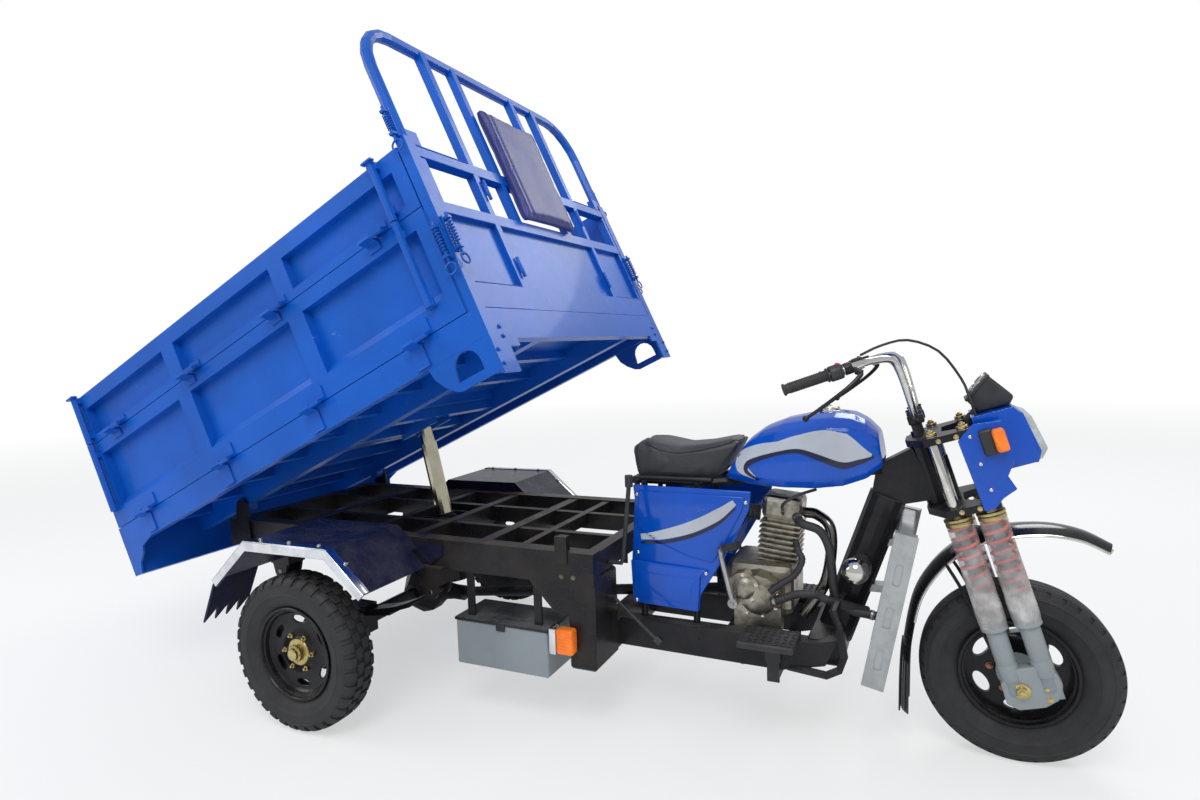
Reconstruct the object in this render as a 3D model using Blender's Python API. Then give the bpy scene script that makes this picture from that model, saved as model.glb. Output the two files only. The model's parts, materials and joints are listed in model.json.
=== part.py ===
"""Dump motor tricycle: a cargo motorcycle with two rear wheels and a tipping bed.

World axes: +X is the vehicle's front, +Y its left side, +Z up.
Vehicle coordinates start on the ground under the rear axle.
Bed coordinates (u, y, w) start at the bed's rear lower edge and lie in its floor.
Steering coordinates (f, y, s) start on the steering axis, with s along it.
"""
import math

import bmesh
import bpy
from mathutils import Matrix, Vector

# Clearances
TOUCH = 0.0003
RUNNING = 0.005

# Wheels
WHEELBASE = 2.293
TRACK = 1.40
TYRE_RADIUS = 0.2825
TYRE_WIDTH = 0.130
LUG_HEIGHT = 0.009
RIM_RADIUS = 0.169
RIM_WIDTH = 0.105
RIM_SEAT = 0.155
RIM_WALL = 0.006
WHEEL_SEGMENTS = 24
REAR_DISC_OFFSET = 0.010
REAR_HUB_RADIUS = 0.052
REAR_HUB_BACK = 0.085
DRUM_RADIUS = 0.092
FRONT_HUB_RADIUS = 0.060
FRONT_HUB_HALF = 0.085
DISC_HOLES = 6
DISC_HOLE_CIRCLE = 0.119
DISC_HOLE_LONG = 0.032
DISC_HOLE_SHORT = 0.016

# Chassis
RAIL_TOP = 0.645
RAIL_DEPTH = 0.110
RAIL_OUTER_Y = 0.420
RAIL_WIDTH = 0.060
RAIL_REAR_X = -0.700
RAIL_FRONT_X = 1.030
CROSS_DEPTH = 0.080
INNER_RAIL_Y = 0.150
INNER_RAIL_WIDTH = 0.030
CORNER_BOX_LENGTH = 0.100
CORNER_BOX_INNER_Y = 0.226
CORNER_BOX_BOTTOM = 0.240
REST_POST_X = 0.890
REST_POST_LENGTH = 0.045
SPRING_EYE_X = 0.380
SPRING_EYE_Z = 0.455
SPRING_EYE_RADIUS = 0.018
SPRING_Y = 0.410
SPRING_WIDTH = 0.060
LEAF_THICKNESS = 0.010
AXLE_RADIUS = 0.030
DIFFERENTIAL_RADIUS = 0.100

# Mudguards
GUARD_OUTER_Y = 0.780
GUARD_SHEET = 0.004
GUARD_LIP = 0.030
GUARD_PROFILE = ((-0.350, 0.521), (-0.173, 0.683), (0.217, 0.687), (0.372, 0.552))
FLAP_BOTTOM = 0.335

# Bed and its pivot
BED_TILT_DEG = 24.375
BED_REAR_X = -0.873
BED_REAR_Z = 0.457
PIVOT_X = -0.609
PIVOT_Z = 0.705
BED_LENGTH = 1.966
BED_HALF_WIDTH = 0.7286
SILL_BOTTOM = 0.125
SILL_TOP = 0.2152
SILL_WIDTH = 0.034
FLOOR_TOP = 0.212
FLOOR_SHEET = 0.012
RUNNER_BOTTOM = 0.115
RUNNER_OUTER_Y = 0.415
RUNNER_WIDTH = 0.050
PANEL_GAP = 0.003
MID_SEAM = 0.575
SIDE_TOP = 0.780
PANEL_THICKNESS = 0.040
PANEL_SKIN = 0.008
PANEL_REAR_U = 0.004
PANEL_FRONT_U = 1.925
POST_REAR_U = 1.930
SIDE_HINGE_OUT = 0.0335
HINGE_RADIUS = 0.009
HINGE_LENGTH = 0.100
HINGE_U = (0.235, 0.740, 1.240, 1.735)
ROD_RADIUS = 0.013
ROD_U = (0.042, 1.825)
ROD_TOP = 0.777
ROD_BOTTOM = 0.285
STIFFENERS_U = (0.650, 1.298)
STIFFENER_WIDTH = 0.075
GATE_THICKNESS = 0.034
GATE_TOP = 0.770
REAR_BEAM_BOTTOM = 0.009

# Front rack of the bed
RACK_TUBE_RADIUS = 0.020
RACK_TOP = 1.250
RACK_CORNER_RADIUS = 0.170
RAIL_ONE_W = 0.755
RAIL_TWO_W = 0.560
RACK_RAIL_HEIGHT = 0.040
RACK_POST_OUTER_Y = 0.381
RACK_POST_INNER_Y = 0.203
RACK_POST_WIDTH = 0.030
PAD_HALF_WIDTH = 0.200
PAD_BOTTOM_W = 0.570
PAD_TOP_W = 1.050
PAD_THICKNESS = 0.038

# Hoist
TRUNNION_X = 0.125
TRUNNION_Z = 0.590
ROD_EYE_U = 1.0566
ROD_EYE_W = 0.1537
BARREL_RADIUS = 0.043
BARREL_BELOW = 0.255
BARREL_ABOVE = 0.040
STAGE_1_RADIUS = 0.035
STAGE_1_TOP = 0.350
STAGE_1_LENGTH = 0.345
STAGE_2_RADIUS = 0.0285
STAGE_2_LENGTH = 0.150
SLIDING = 0.001
ROD_EYE_RADIUS = 0.020
ROD_EYE_HALF = 0.036
EAR_INNER_Y = 0.0415
TRUNNION_RADIUS = 0.014
TRUNNION_PLATE_Y = 0.062
TRUNNION_PLATE = 0.010

# Steering and fork
RAKE_DEG = 17.0
STEER_Z = 0.900
STEER_X = 2.0386
HEAD_TUBE_RADIUS = 0.034
HEAD_TOP = 0.095
HEAD_BOTTOM = -0.105
STEM_RADIUS = 0.015
STEM_PLAY = 0.001
LEG_REAR_F = 0.045
LEG_FRONT_F = 0.136
LEG_Y = 0.142
LEG_RADIUS = 0.0275
STANCHION_RADIUS = 0.0165
AXLE_F = 0.0628
AXLE_S = -0.6649
BOOT_TOP = -0.136
BOOT_BOTTOM = -0.470
BOOT_RADIUS = 0.042
CLAMP_THICKNESS = 0.022
CLAMP_BEYOND_LEG = 0.028
SLIDER_INTO_BOOT = 0.090
RISER_Y = 0.055
RISER_RADIUS = 0.014
RISER_TOP = 0.190
BAR_RADIUS = 0.011
GUARD_HALF = 0.078
GUARD_ARCH = ((-0.338, -0.1775), (-0.335, -0.0325), (-0.325, 0.0875), (-0.298, 0.2175), (-0.248, 0.3125),
              (-0.188, 0.3795), (-0.113, 0.4325), (-0.023, 0.4595), (0.077, 0.4695), (0.167, 0.4555),
              (0.242, 0.4195))
GRIP_RADIUS = 0.017

# Front frame, seat and engine
DOWN_TUBE_RADIUS = 0.060
DOWN_TUBE_TOP = (STEER_X - 0.1206, STEER_Z - 0.088)
DOWN_TUBE_BOTTOM = (STEER_X - 0.2936, 0.325)
CRADLE_Y = 0.170
CRADLE_WIDTH = 0.060
CRADLE_TOP = 0.355
CRADLE_BOTTOM = 0.255
RADIATOR_LEAN_DEG = 11.6
RADIATOR_AHEAD = 0.113
RADIATOR_THICKNESS = 0.042
RADIATOR_HEIGHT = 0.500
SEAT_BOTTOM = 0.8553
SEAT_TUBE_Y = 0.100
SEAT_TUBE_Z = 0.842
SEAT_TUBE_RADIUS = 0.014
TUNNEL_HALF = 0.075
TUNNEL_TOP = 0.935
SHAFT_RADIUS = 0.020
SHAFT_JOINT_RADIUS = 0.032
SHAFT_JOINT_LENGTH = 0.050
ENGINE_REAR_X = 1.395
ENGINE_OUTPUT_Z = 0.440
PINION_NOSE_X = 0.155
COVER_OUTER_Y = 0.190
HEAD_HALF = 0.066
COVER_SHEET = 0.012


def bed_angle():
    return math.radians(BED_TILT_DEG)


def bed_to_vehicle(u, w):
    """Vehicle x and z of a point of the bed, raised as it rests."""
    turn = bed_angle()
    x = BED_REAR_X + u * math.cos(turn) - w * math.sin(turn)
    z = BED_REAR_Z + u * math.sin(turn) + w * math.cos(turn)
    return x, z


def vehicle_to_bed(x, z):
    turn = bed_angle()
    dx = x - BED_REAR_X
    dz = z - BED_REAR_Z
    return dx * math.cos(turn) + dz * math.sin(turn), dz * math.cos(turn) - dx * math.sin(turn)


PIVOT_U, PIVOT_W = vehicle_to_bed(PIVOT_X, PIVOT_Z)
REAR_END_X = bed_to_vehicle(-GATE_THICKNESS / 2, GATE_TOP)[0]
ORIGIN_X = (WHEELBASE + TYRE_RADIUS + REAR_END_X) / 2


def clear_scene():
    for item in list(bpy.data.objects):
        bpy.data.objects.remove(item, do_unlink=True)


def new_collection(name):
    collection = bpy.data.collections.new(name)
    bpy.context.scene.collection.children.link(collection)
    return collection


def new_material(name, colour, roughness, metallic=0.0):
    material = bpy.data.materials.new(name)
    material.use_nodes = True
    shader = material.node_tree.nodes["Principled BSDF"]
    shader.inputs["Base Color"].default_value = (*colour, 1.0)
    shader.inputs["Roughness"].default_value = roughness
    shader.inputs["Metallic"].default_value = metallic
    return material


def scratch(bm, name="piece"):
    """Write a bmesh into a new object of the scratch collection."""
    bmesh.ops.recalc_face_normals(bm, faces=bm.faces)
    mesh = bpy.data.meshes.new(name)
    bm.to_mesh(mesh)
    bm.free()
    item = bpy.data.objects.new(name, mesh)
    CUTTERS.objects.link(item)
    item.hide_render = True
    item.display_type = "WIRE"
    return item


def box(x, y, z, rounded=0.0, segments=1):
    """A box between two limits on each axis, with its edges rounded on request."""
    bm = bmesh.new()
    bmesh.ops.create_cube(bm, size=1.0)
    size = Vector((x[1] - x[0], y[1] - y[0], z[1] - z[0]))
    centre = Vector((x[1] + x[0], y[1] + y[0], z[1] + z[0])) / 2
    bmesh.ops.scale(bm, vec=size, verts=bm.verts)
    bmesh.ops.translate(bm, vec=centre, verts=bm.verts)
    if rounded:
        bmesh.ops.bevel(
            bm, geom=bm.edges[:], offset=rounded, segments=segments, profile=0.5, affect="EDGES"
        )
    return scratch(bm)


def rod(start, end, radius, sides=12, end_radius=None):
    """A round bar between two points, tapered where its end radius differs."""
    start = Vector(start)
    end = Vector(end)
    along = end - start
    bm = bmesh.new()
    bmesh.ops.create_cone(
        bm,
        cap_ends=True,
        segments=sides,
        radius1=radius,
        radius2=radius if end_radius is None else end_radius,
        depth=along.length,
    )
    turn = Vector((0.0, 0.0, 1.0)).rotation_difference(along).to_matrix().to_4x4()
    bm.transform(Matrix.Translation((start + end) / 2) @ turn)
    return scratch(bm)


def smooth_route(points, steps=6):
    """Points along a Catmull-Rom curve through the given ones."""
    spots = [Vector(point) for point in points]
    spots = [spots[0] * 2 - spots[1]] + spots + [spots[-1] * 2 - spots[-2]]
    route = []
    for index in range(1, len(spots) - 2):
        a, b, c, d = spots[index - 1:index + 3]
        for step in range(steps):
            t = step / steps
            square = 2 * a - 5 * b + 4 * c - d
            cube = 3 * b - a - 3 * c + d
            route.append(0.5 * (2 * b + (c - a) * t + square * t * t + cube * t ** 3))
    route.append(spots[-2])
    return route


def tube(points, radius, resolution=2):
    """A round tube along a chain of points, as a mesh with welded caps."""
    curve = bpy.data.curves.new("route", "CURVE")
    curve.dimensions = "3D"
    curve.bevel_depth = radius
    curve.bevel_resolution = resolution
    curve.use_fill_caps = True
    spline = curve.splines.new("POLY")
    spline.points.add(len(points) - 1)
    for point, spot in zip(spline.points, points):
        point.co = (*spot, 1.0)
    item = bpy.data.objects.new("route", curve)
    CUTTERS.objects.link(item)
    mesh = bpy.data.meshes.new_from_object(item.evaluated_get(bpy.context.evaluated_depsgraph_get()))
    bpy.data.objects.remove(item)
    bm = bmesh.new()
    bm.from_mesh(mesh)
    bmesh.ops.remove_doubles(bm, verts=bm.verts, dist=0.00001)
    return scratch(bm)


def prism(outline, plane, limits):
    """A flat outline drawn in a plane and extruded across it between two limits."""
    axes = {"XZ": (0, 2, 1), "XY": (0, 1, 2), "YZ": (1, 2, 0)}[plane]
    bm = bmesh.new()
    corners = []
    for point in outline:
        spot = [0.0, 0.0, 0.0]
        spot[axes[0]] = point[0]
        spot[axes[1]] = point[1]
        spot[axes[2]] = limits[0]
        corners.append(bm.verts.new(spot))
    face = bm.faces.new(corners)
    made = bmesh.ops.extrude_face_region(bm, geom=[face])
    across = [0.0, 0.0, 0.0]
    across[axes[2]] = limits[1] - limits[0]
    moved = [item for item in made["geom"] if isinstance(item, bmesh.types.BMVert)]
    bmesh.ops.translate(bm, vec=across, verts=moved)
    return scratch(bm)


def turned(profile, sides, closed=True):
    """A profile of (radius, y) points spun about the Y axis."""
    bm = bmesh.new()
    corners = [bm.verts.new((radius, y, 0.0)) for radius, y in profile]
    edges = [bm.edges.new(pair) for pair in zip(corners, corners[1:])]
    if closed:
        edges.append(bm.edges.new((corners[-1], corners[0])))
    bmesh.ops.spin(
        bm,
        geom=corners + edges,
        cent=(0.0, 0.0, 0.0),
        axis=(0.0, 1.0, 0.0),
        angle=math.tau,
        steps=sides,
        use_merge=True,
    )
    bmesh.ops.remove_doubles(bm, verts=bm.verts, dist=0.00001)
    return scratch(bm)


def moved(item, offset=(0.0, 0.0, 0.0), turn=0.0, axis="Y"):
    """Turn a scratch solid about an axis through zero, then shift it."""
    item.data.transform(Matrix.Translation(offset) @ Matrix.Rotation(turn, 4, axis))
    return item


def mirrored(item):
    """A copy of a scratch solid on the other side of the middle plane."""
    mesh = item.data.copy()
    mesh.transform(Matrix.Scale(-1.0, 4, (0.0, 1.0, 0.0)))
    mesh.flip_normals()
    copy = bpy.data.objects.new(item.name, mesh)
    CUTTERS.objects.link(copy)
    return copy


def both_sides(items):
    return items + [mirrored(item) for item in items]


def offset_line(points, thickness):
    """The outline of a strip of a given thickness that hangs below a chain of points."""
    spots = [Vector(point) for point in points]
    lower = []
    for index, spot in enumerate(spots):
        before = (spot - spots[index - 1]).normalized() if index else (spots[1] - spot).normalized()
        after = (spots[index + 1] - spot).normalized() if index < len(spots) - 1 else before
        middle = (before + after).normalized()
        normal = Vector((middle.y, -middle.x))
        reach = thickness / max(0.3, normal.dot(Vector((before.y, -before.x))))
        lower.append(spot + normal * reach)
    return [tuple(spot) for spot in spots] + [tuple(spot) for spot in reversed(lower)]


def arc(centre, radius, start_deg, end_deg, steps):
    points = []
    for step in range(steps + 1):
        angle = math.radians(start_deg + (end_deg - start_deg) * step / steps)
        points.append((centre[0] + radius * math.cos(angle), centre[1] + radius * math.sin(angle)))
    return points


class Group:
    """A rigid body: an empty on its joint, with the coordinates its meshes are drawn in."""

    def __init__(self, name, parent=None, origin=(0.0, 0.0, 0.0), place=None, turn_y=0.0):
        self.origin = Vector(origin)
        self.empty = bpy.data.objects.new(name + "_axis", None)
        MODEL.objects.link(self.empty)
        if parent:
            self.empty.parent = parent.empty
        if place is None:
            place = self.origin - (parent.origin if parent else Vector())
        self.empty.location = place
        self.empty.rotation_euler.y = turn_y


def fuse(name, solids, material, group, cuts=()):
    """Join solids into one closed body, cut it, and hang it on its group."""
    base = solids[0]
    for operation, others in (("UNION", solids[1:]), ("DIFFERENCE", cuts)):
        for other in others:
            step = base.modifiers.new(operation.lower(), "BOOLEAN")
            step.operation = operation
            step.solver = "EXACT"
            step.object = other
    mesh = bpy.data.meshes.new_from_object(base.evaluated_get(bpy.context.evaluated_depsgraph_get()))
    for item in list(solids) + list(cuts):
        bpy.data.objects.remove(item)
    mesh.transform(Matrix.Translation(-group.origin))
    bm = bmesh.new()
    bm.from_mesh(mesh)
    bmesh.ops.dissolve_limit(bm, angle_limit=0.002, verts=bm.verts, edges=bm.edges)
    bm.to_mesh(mesh)
    bm.free()
    mesh.name = name
    mesh.materials.clear()
    mesh.materials.append(material)
    part = bpy.data.objects.new(name, mesh)
    MODEL.objects.link(part)
    part.parent = group.empty
    mesh.shade_smooth()
    mesh.set_sharp_from_angle(angle=math.radians(32))
    return part


def cross_bar(x_limits, bottom=None):
    """A chassis cross-member between the two rails."""
    inner = RAIL_OUTER_Y - RAIL_WIDTH
    low = RAIL_TOP - CROSS_DEPTH if bottom is None else bottom
    return box(x_limits, (-inner - 0.01, inner + 0.01), (low, RAIL_TOP - 0.003))


def build_chassis(body):
    inner = RAIL_OUTER_Y - RAIL_WIDTH
    rail_bottom = RAIL_TOP - RAIL_DEPTH
    side = [box((RAIL_REAR_X, RAIL_FRONT_X), (-RAIL_OUTER_Y, -inner), (rail_bottom, RAIL_TOP))]
    inner_low = RAIL_TOP - 0.07
    side.append(
        box((RAIL_REAR_X + 0.02, RAIL_FRONT_X - 0.02),
            (-INNER_RAIL_Y - INNER_RAIL_WIDTH / 2, -INNER_RAIL_Y + INNER_RAIL_WIDTH / 2),
            (inner_low, RAIL_TOP - 0.006))
    )
    box_rear = RAIL_FRONT_X - CORNER_BOX_LENGTH
    side.append(
        box((box_rear, RAIL_FRONT_X - 0.0002), (-RAIL_OUTER_Y + 0.0002, -CORNER_BOX_INNER_Y),
            (CORNER_BOX_BOTTOM, rail_bottom + 0.02), 0.008)
    )
    gusset = [(box_rear - 0.16, rail_bottom + 0.01), (box_rear + 0.02, rail_bottom + 0.01),
              (box_rear + 0.02, rail_bottom - 0.105), (box_rear - 0.05, rail_bottom - 0.105)]
    side.append(prism(gusset, "XZ", (-RAIL_OUTER_Y + 0.001, -RAIL_OUTER_Y + 0.009)))
    runner_rest = PIVOT_Z - (PIVOT_W - RUNNER_BOTTOM)
    side.append(
        box((REST_POST_X, REST_POST_X + REST_POST_LENGTH), (-RAIL_OUTER_Y - 0.006, -RAIL_OUTER_Y + 0.006),
            (RAIL_TOP - 0.04, runner_rest - RUNNING))
    )
    side.append(
        box((REST_POST_X + 0.005, REST_POST_X + REST_POST_LENGTH - 0.005),
        (-RAIL_OUTER_Y, -RAIL_OUTER_Y + 0.03),
            (RAIL_TOP - 0.01, runner_rest - RUNNING - 0.001))
    )
    lug_y = (-RAIL_OUTER_Y - 0.011, -RAIL_OUTER_Y + 0.0002)
    side.append(rod((PIVOT_X, lug_y[0], PIVOT_Z), (PIVOT_X, lug_y[1], PIVOT_Z), 0.030, 20))
    lug = [(PIVOT_X - 0.045, rail_bottom + 0.03), (PIVOT_X + 0.045, rail_bottom + 0.03),
           (PIVOT_X + 0.029, PIVOT_Z + 0.006), (PIVOT_X - 0.029, PIVOT_Z + 0.006)]
    side.append(prism(lug, "XZ", lug_y))
    plate_out = SPRING_Y + SPRING_WIDTH / 2 + TOUCH
    plate_in = SPRING_Y - SPRING_WIDTH / 2 - TOUCH
    for x in (-SPRING_EYE_X, SPRING_EYE_X):
        side.append(
            box((x - 0.05, x + 0.05), (-plate_out - 0.012, -plate_in + 0.012),
                (SPRING_EYE_Z + SPRING_EYE_RADIUS + 0.012, rail_bottom + 0.01))
        )
        hanger = [(x - 0.05, rail_bottom - 0.01)] + arc((x, SPRING_EYE_Z), 0.030, 200, 340, 8)
        hanger.append((x + 0.05, rail_bottom - 0.01))
        side.append(prism(hanger, "XZ", (-plate_out - 0.012, -plate_out)))
        side.append(prism(hanger, "XZ", (-plate_in, -plate_in + 0.012)))
    for x in (0.50, 0.78):
        side.append(box((x, x + 0.03), (-0.392, -0.384), (BOX_TOP + TOUCH, rail_bottom + 0.01)))
    solids = both_sides(side)
    for limits in ((-0.69, -0.64), (-0.36, -0.31), (0.0, 0.035), (0.235, 0.275), (0.545, 0.590),
                   (0.985, RAIL_FRONT_X - 0.0001)):
        solids.append(cross_bar(limits))
    solids.append(box((0.715, 0.745), (-inner - 0.01, inner + 0.01), (RAIL_TOP - 0.05, RAIL_TOP - 0.004)))
    solids.append(
        box((box_rear + 0.03, RAIL_FRONT_X - 0.0001),
        (-CORNER_BOX_INNER_Y - 0.01, CORNER_BOX_INNER_Y + 0.01),
            (CRADLE_BOTTOM, CRADLE_TOP - 0.002))
    )
    for sign in (-1, 1):
        plate = sorted((sign * TRUNNION_PLATE_Y, sign * (TRUNNION_PLATE_Y + TRUNNION_PLATE)))
        solids.append(box((0.02, 0.25), plate, (TRUNNION_Z - 0.035, TRUNNION_Z + 0.035)))
    fuse("chassis_frame", solids, BLACK_PAINT, body)


def leaf_pack(middle_z, eye_rise):
    """The side view of a bowed spring whose leaves shorten downwards."""
    reach = SPRING_EYE_X - SPRING_EYE_RADIUS * 0.5
    shares = (1.0, 0.85, 0.72, 0.58, 0.46, 0.23)
    stations = [-reach * share for share in shares] + [0.0] + [reach * share for share in reversed(shares)]

    def crown(x):
        return middle_z + eye_rise * (x / SPRING_EYE_X) ** 2

    top = [(x, crown(x)) for x in stations]
    right = []
    for level, (outer, inner) in enumerate(((1.0, 0.72), (0.72, 0.46), (0.46, 0.0))):
        drop = (level + 1) * LEAF_THICKNESS
        right.append((reach * outer, crown(reach * outer) - drop))
        right.append((reach * inner, crown(reach * inner) - drop))
    left = [(-x, z) for x, z in reversed(right[:-1])]
    return top + right + left


def build_rear_axle(body):
    pad_y = SPRING_Y
    hub_back = TRACK / 2 - REAR_HUB_BACK
    flange_z = TYRE_RADIUS
    leaf_centre = TYRE_RADIUS + AXLE_RADIUS + 0.030
    solids = [rod((0, -hub_back + 0.012, flange_z), (0, hub_back - 0.012, flange_z), AXLE_RADIUS, 10)]
    middle = turned(
        [(0.0, -0.105), (0.045, -0.105), (DIFFERENTIAL_RADIUS, -0.030), (DIFFERENTIAL_RADIUS, 0.030),
        (0.045, 0.105),
         (0.0, 0.105)], 12, closed=False)
    solids.append(moved(middle, (0, 0, flange_z)))
    solids.append(rod((0.07, 0, flange_z), (PINION_NOSE_X, 0, flange_z), 0.045, 12, 0.032))
    eye_rise = SPRING_EYE_Z - leaf_centre
    for sign in (-1, 1):
        back = turned([(0.0, -0.008), (0.110, -0.008), (0.110, 0.008), (0.0, 0.008)], 16, closed=False)
        solids.append(moved(back, (0, sign * (hub_back - 0.008), flange_z)))
        leaf_y = (sign * pad_y - SPRING_WIDTH / 2, sign * pad_y + SPRING_WIDTH / 2)
        solids.append(prism(leaf_pack(leaf_centre, eye_rise), "XZ", leaf_y))
        for x in (-SPRING_EYE_X, SPRING_EYE_X):
            solids.append(
                rod((x, leaf_y[0], SPRING_EYE_Z), (x, leaf_y[1], SPRING_EYE_Z), SPRING_EYE_RADIUS, 8)
            )
        solids.append(
            box(
                (-0.05, 0.05), (sign * pad_y - 0.036, sign * pad_y + 0.036),
                (flange_z - 0.040, leaf_centre + 0.012)
            )
        )
    fuse("rear_axle", solids, BLACK_PAINT, body)


def build_mudguard(body, name, sign):
    inner = RAIL_OUTER_Y + TOUCH
    across = (-GUARD_OUTER_Y, -inner)
    solids = [prism(offset_line(GUARD_PROFILE, GUARD_SHEET), "XZ", across)]
    lip = offset_line([(x, z + 0.0005) for x, z in GUARD_PROFILE], GUARD_LIP)
    solids.append(prism(lip, "XZ", (-GUARD_OUTER_Y - 0.0005, -GUARD_OUTER_Y + GUARD_SHEET)))
    foot = GUARD_PROFILE[0]
    head_back = GUARD_PROFILE[1]
    head_front = GUARD_PROFILE[2]
    toe = GUARD_PROFILE[3]
    skirt = [(head_back[0] - 0.05, RAIL_TOP - 0.02), (head_front[0] + 0.06, RAIL_TOP - 0.02),
             (head_front[0] - 0.002, head_front[1] - 0.002), (head_back[0] + 0.002, head_back[1] - 0.002)]
    solids.append(prism(skirt, "XZ", (-inner - GUARD_SHEET, -inner - 0.0003)))
    stay = [(toe[0] - 0.003, toe[1] - 0.0015), (toe[0] + 0.050, RAIL_TOP - 0.055),
    (toe[0] + 0.050, RAIL_TOP - 0.015),
            (head_front[0] + 0.03, RAIL_TOP - 0.015)]
    solids.append(prism(stay, "XZ", (-inner - 0.008, -inner - 0.0006)))
    flap_width = (-GUARD_OUTER_Y + 0.006, -0.585)
    teeth = 4
    foot = (foot[0] + 0.002, foot[1])
    pitch = (flap_width[1] - flap_width[0]) / teeth
    outline = [(flap_width[0], foot[1] + 0.004)]
    for index in range(teeth):
        outline.append((flap_width[0] + index * pitch, FLAP_BOTTOM))
        outline.append((flap_width[0] + (index + 0.92) * pitch, FLAP_BOTTOM + 0.055))
    outline.append((flap_width[1], foot[1] + 0.004))
    flap = prism(outline, "YZ", (foot[0] - 0.004, foot[0] + 0.004))
    flap.data.transform(
        Matrix.Translation((foot[0], 0, foot[1])) @ Matrix.Rotation(math.radians(24), 4, "Y")
        @ Matrix.Translation((-foot[0], 0, -foot[1]))
    )
    solids.append(flap)
    cuts = []
    for low_x, high_x, high_y in ((-0.45, -0.31, -0.40), (0.31, 0.43, -inner - 0.009)):
        cuts.append(box((low_x, high_x), (-0.462, high_y), (0.40, 0.625)))
    if sign > 0:
        solids = [mirrored(item) for item in solids]
        cuts = [mirrored(item) for item in cuts]
    fuse(name, solids, GUARD_PAINT, body, cuts)


BOX_TOP = 0.360
BOX_BOTTOM = 0.190
BOX_X = (0.465, 0.845)
BOX_Y = (-0.420, -0.230)
LAMP_SIZE = (0.085, 0.045, 0.095)


def build_chassis_fittings(body):
    fuse("tool_box", [box(BOX_X, BOX_Y, (BOX_BOTTOM, BOX_TOP), 0.004)], GREY_PAINT, body)
    for name, sign in (("marker_lamp_right", -1), ("marker_lamp_left", 1)):
        near = RAIL_OUTER_Y + TOUCH
        lamp_y = sorted((sign * near, sign * (near + LAMP_SIZE[1])))
        lamp = box((0.880, 0.880 + LAMP_SIZE[0]), lamp_y, (0.300, 0.300 + LAMP_SIZE[2]), 0.010, 2)
        fuse(name, [lamp], ORANGE, body)


SEAT_POST_X = (1.105, 1.30)
SEAT_POST_RADIUS = 0.012


def cradle_path():
    front_x = DOWN_TUBE_BOTTOM[0]
    return [(RAIL_FRONT_X + TOUCH, CRADLE_BOTTOM), (front_x - 0.145, CRADLE_BOTTOM - 0.005),
            (front_x - 0.005, CRADLE_BOTTOM + 0.03), (front_x + 0.035, CRADLE_TOP + 0.02),
            (front_x - 0.045, CRADLE_TOP), (RAIL_FRONT_X + TOUCH, CRADLE_TOP)]


def seat_post(x, sign, radius):
    """An upright between the cradle and the seat tube."""
    return rod((x, sign * 0.155, CRADLE_TOP - 0.01), (x, sign * 0.125, 0.845), radius, 10)


def steer_point(f, s):
    """Vehicle x and z of a point given in steering coordinates."""
    turn = math.radians(RAKE_DEG)
    return STEER_X + f * math.cos(turn) - s * math.sin(turn), STEER_Z + f * math.sin(turn) + s * math.cos(
        turn
    )


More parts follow.
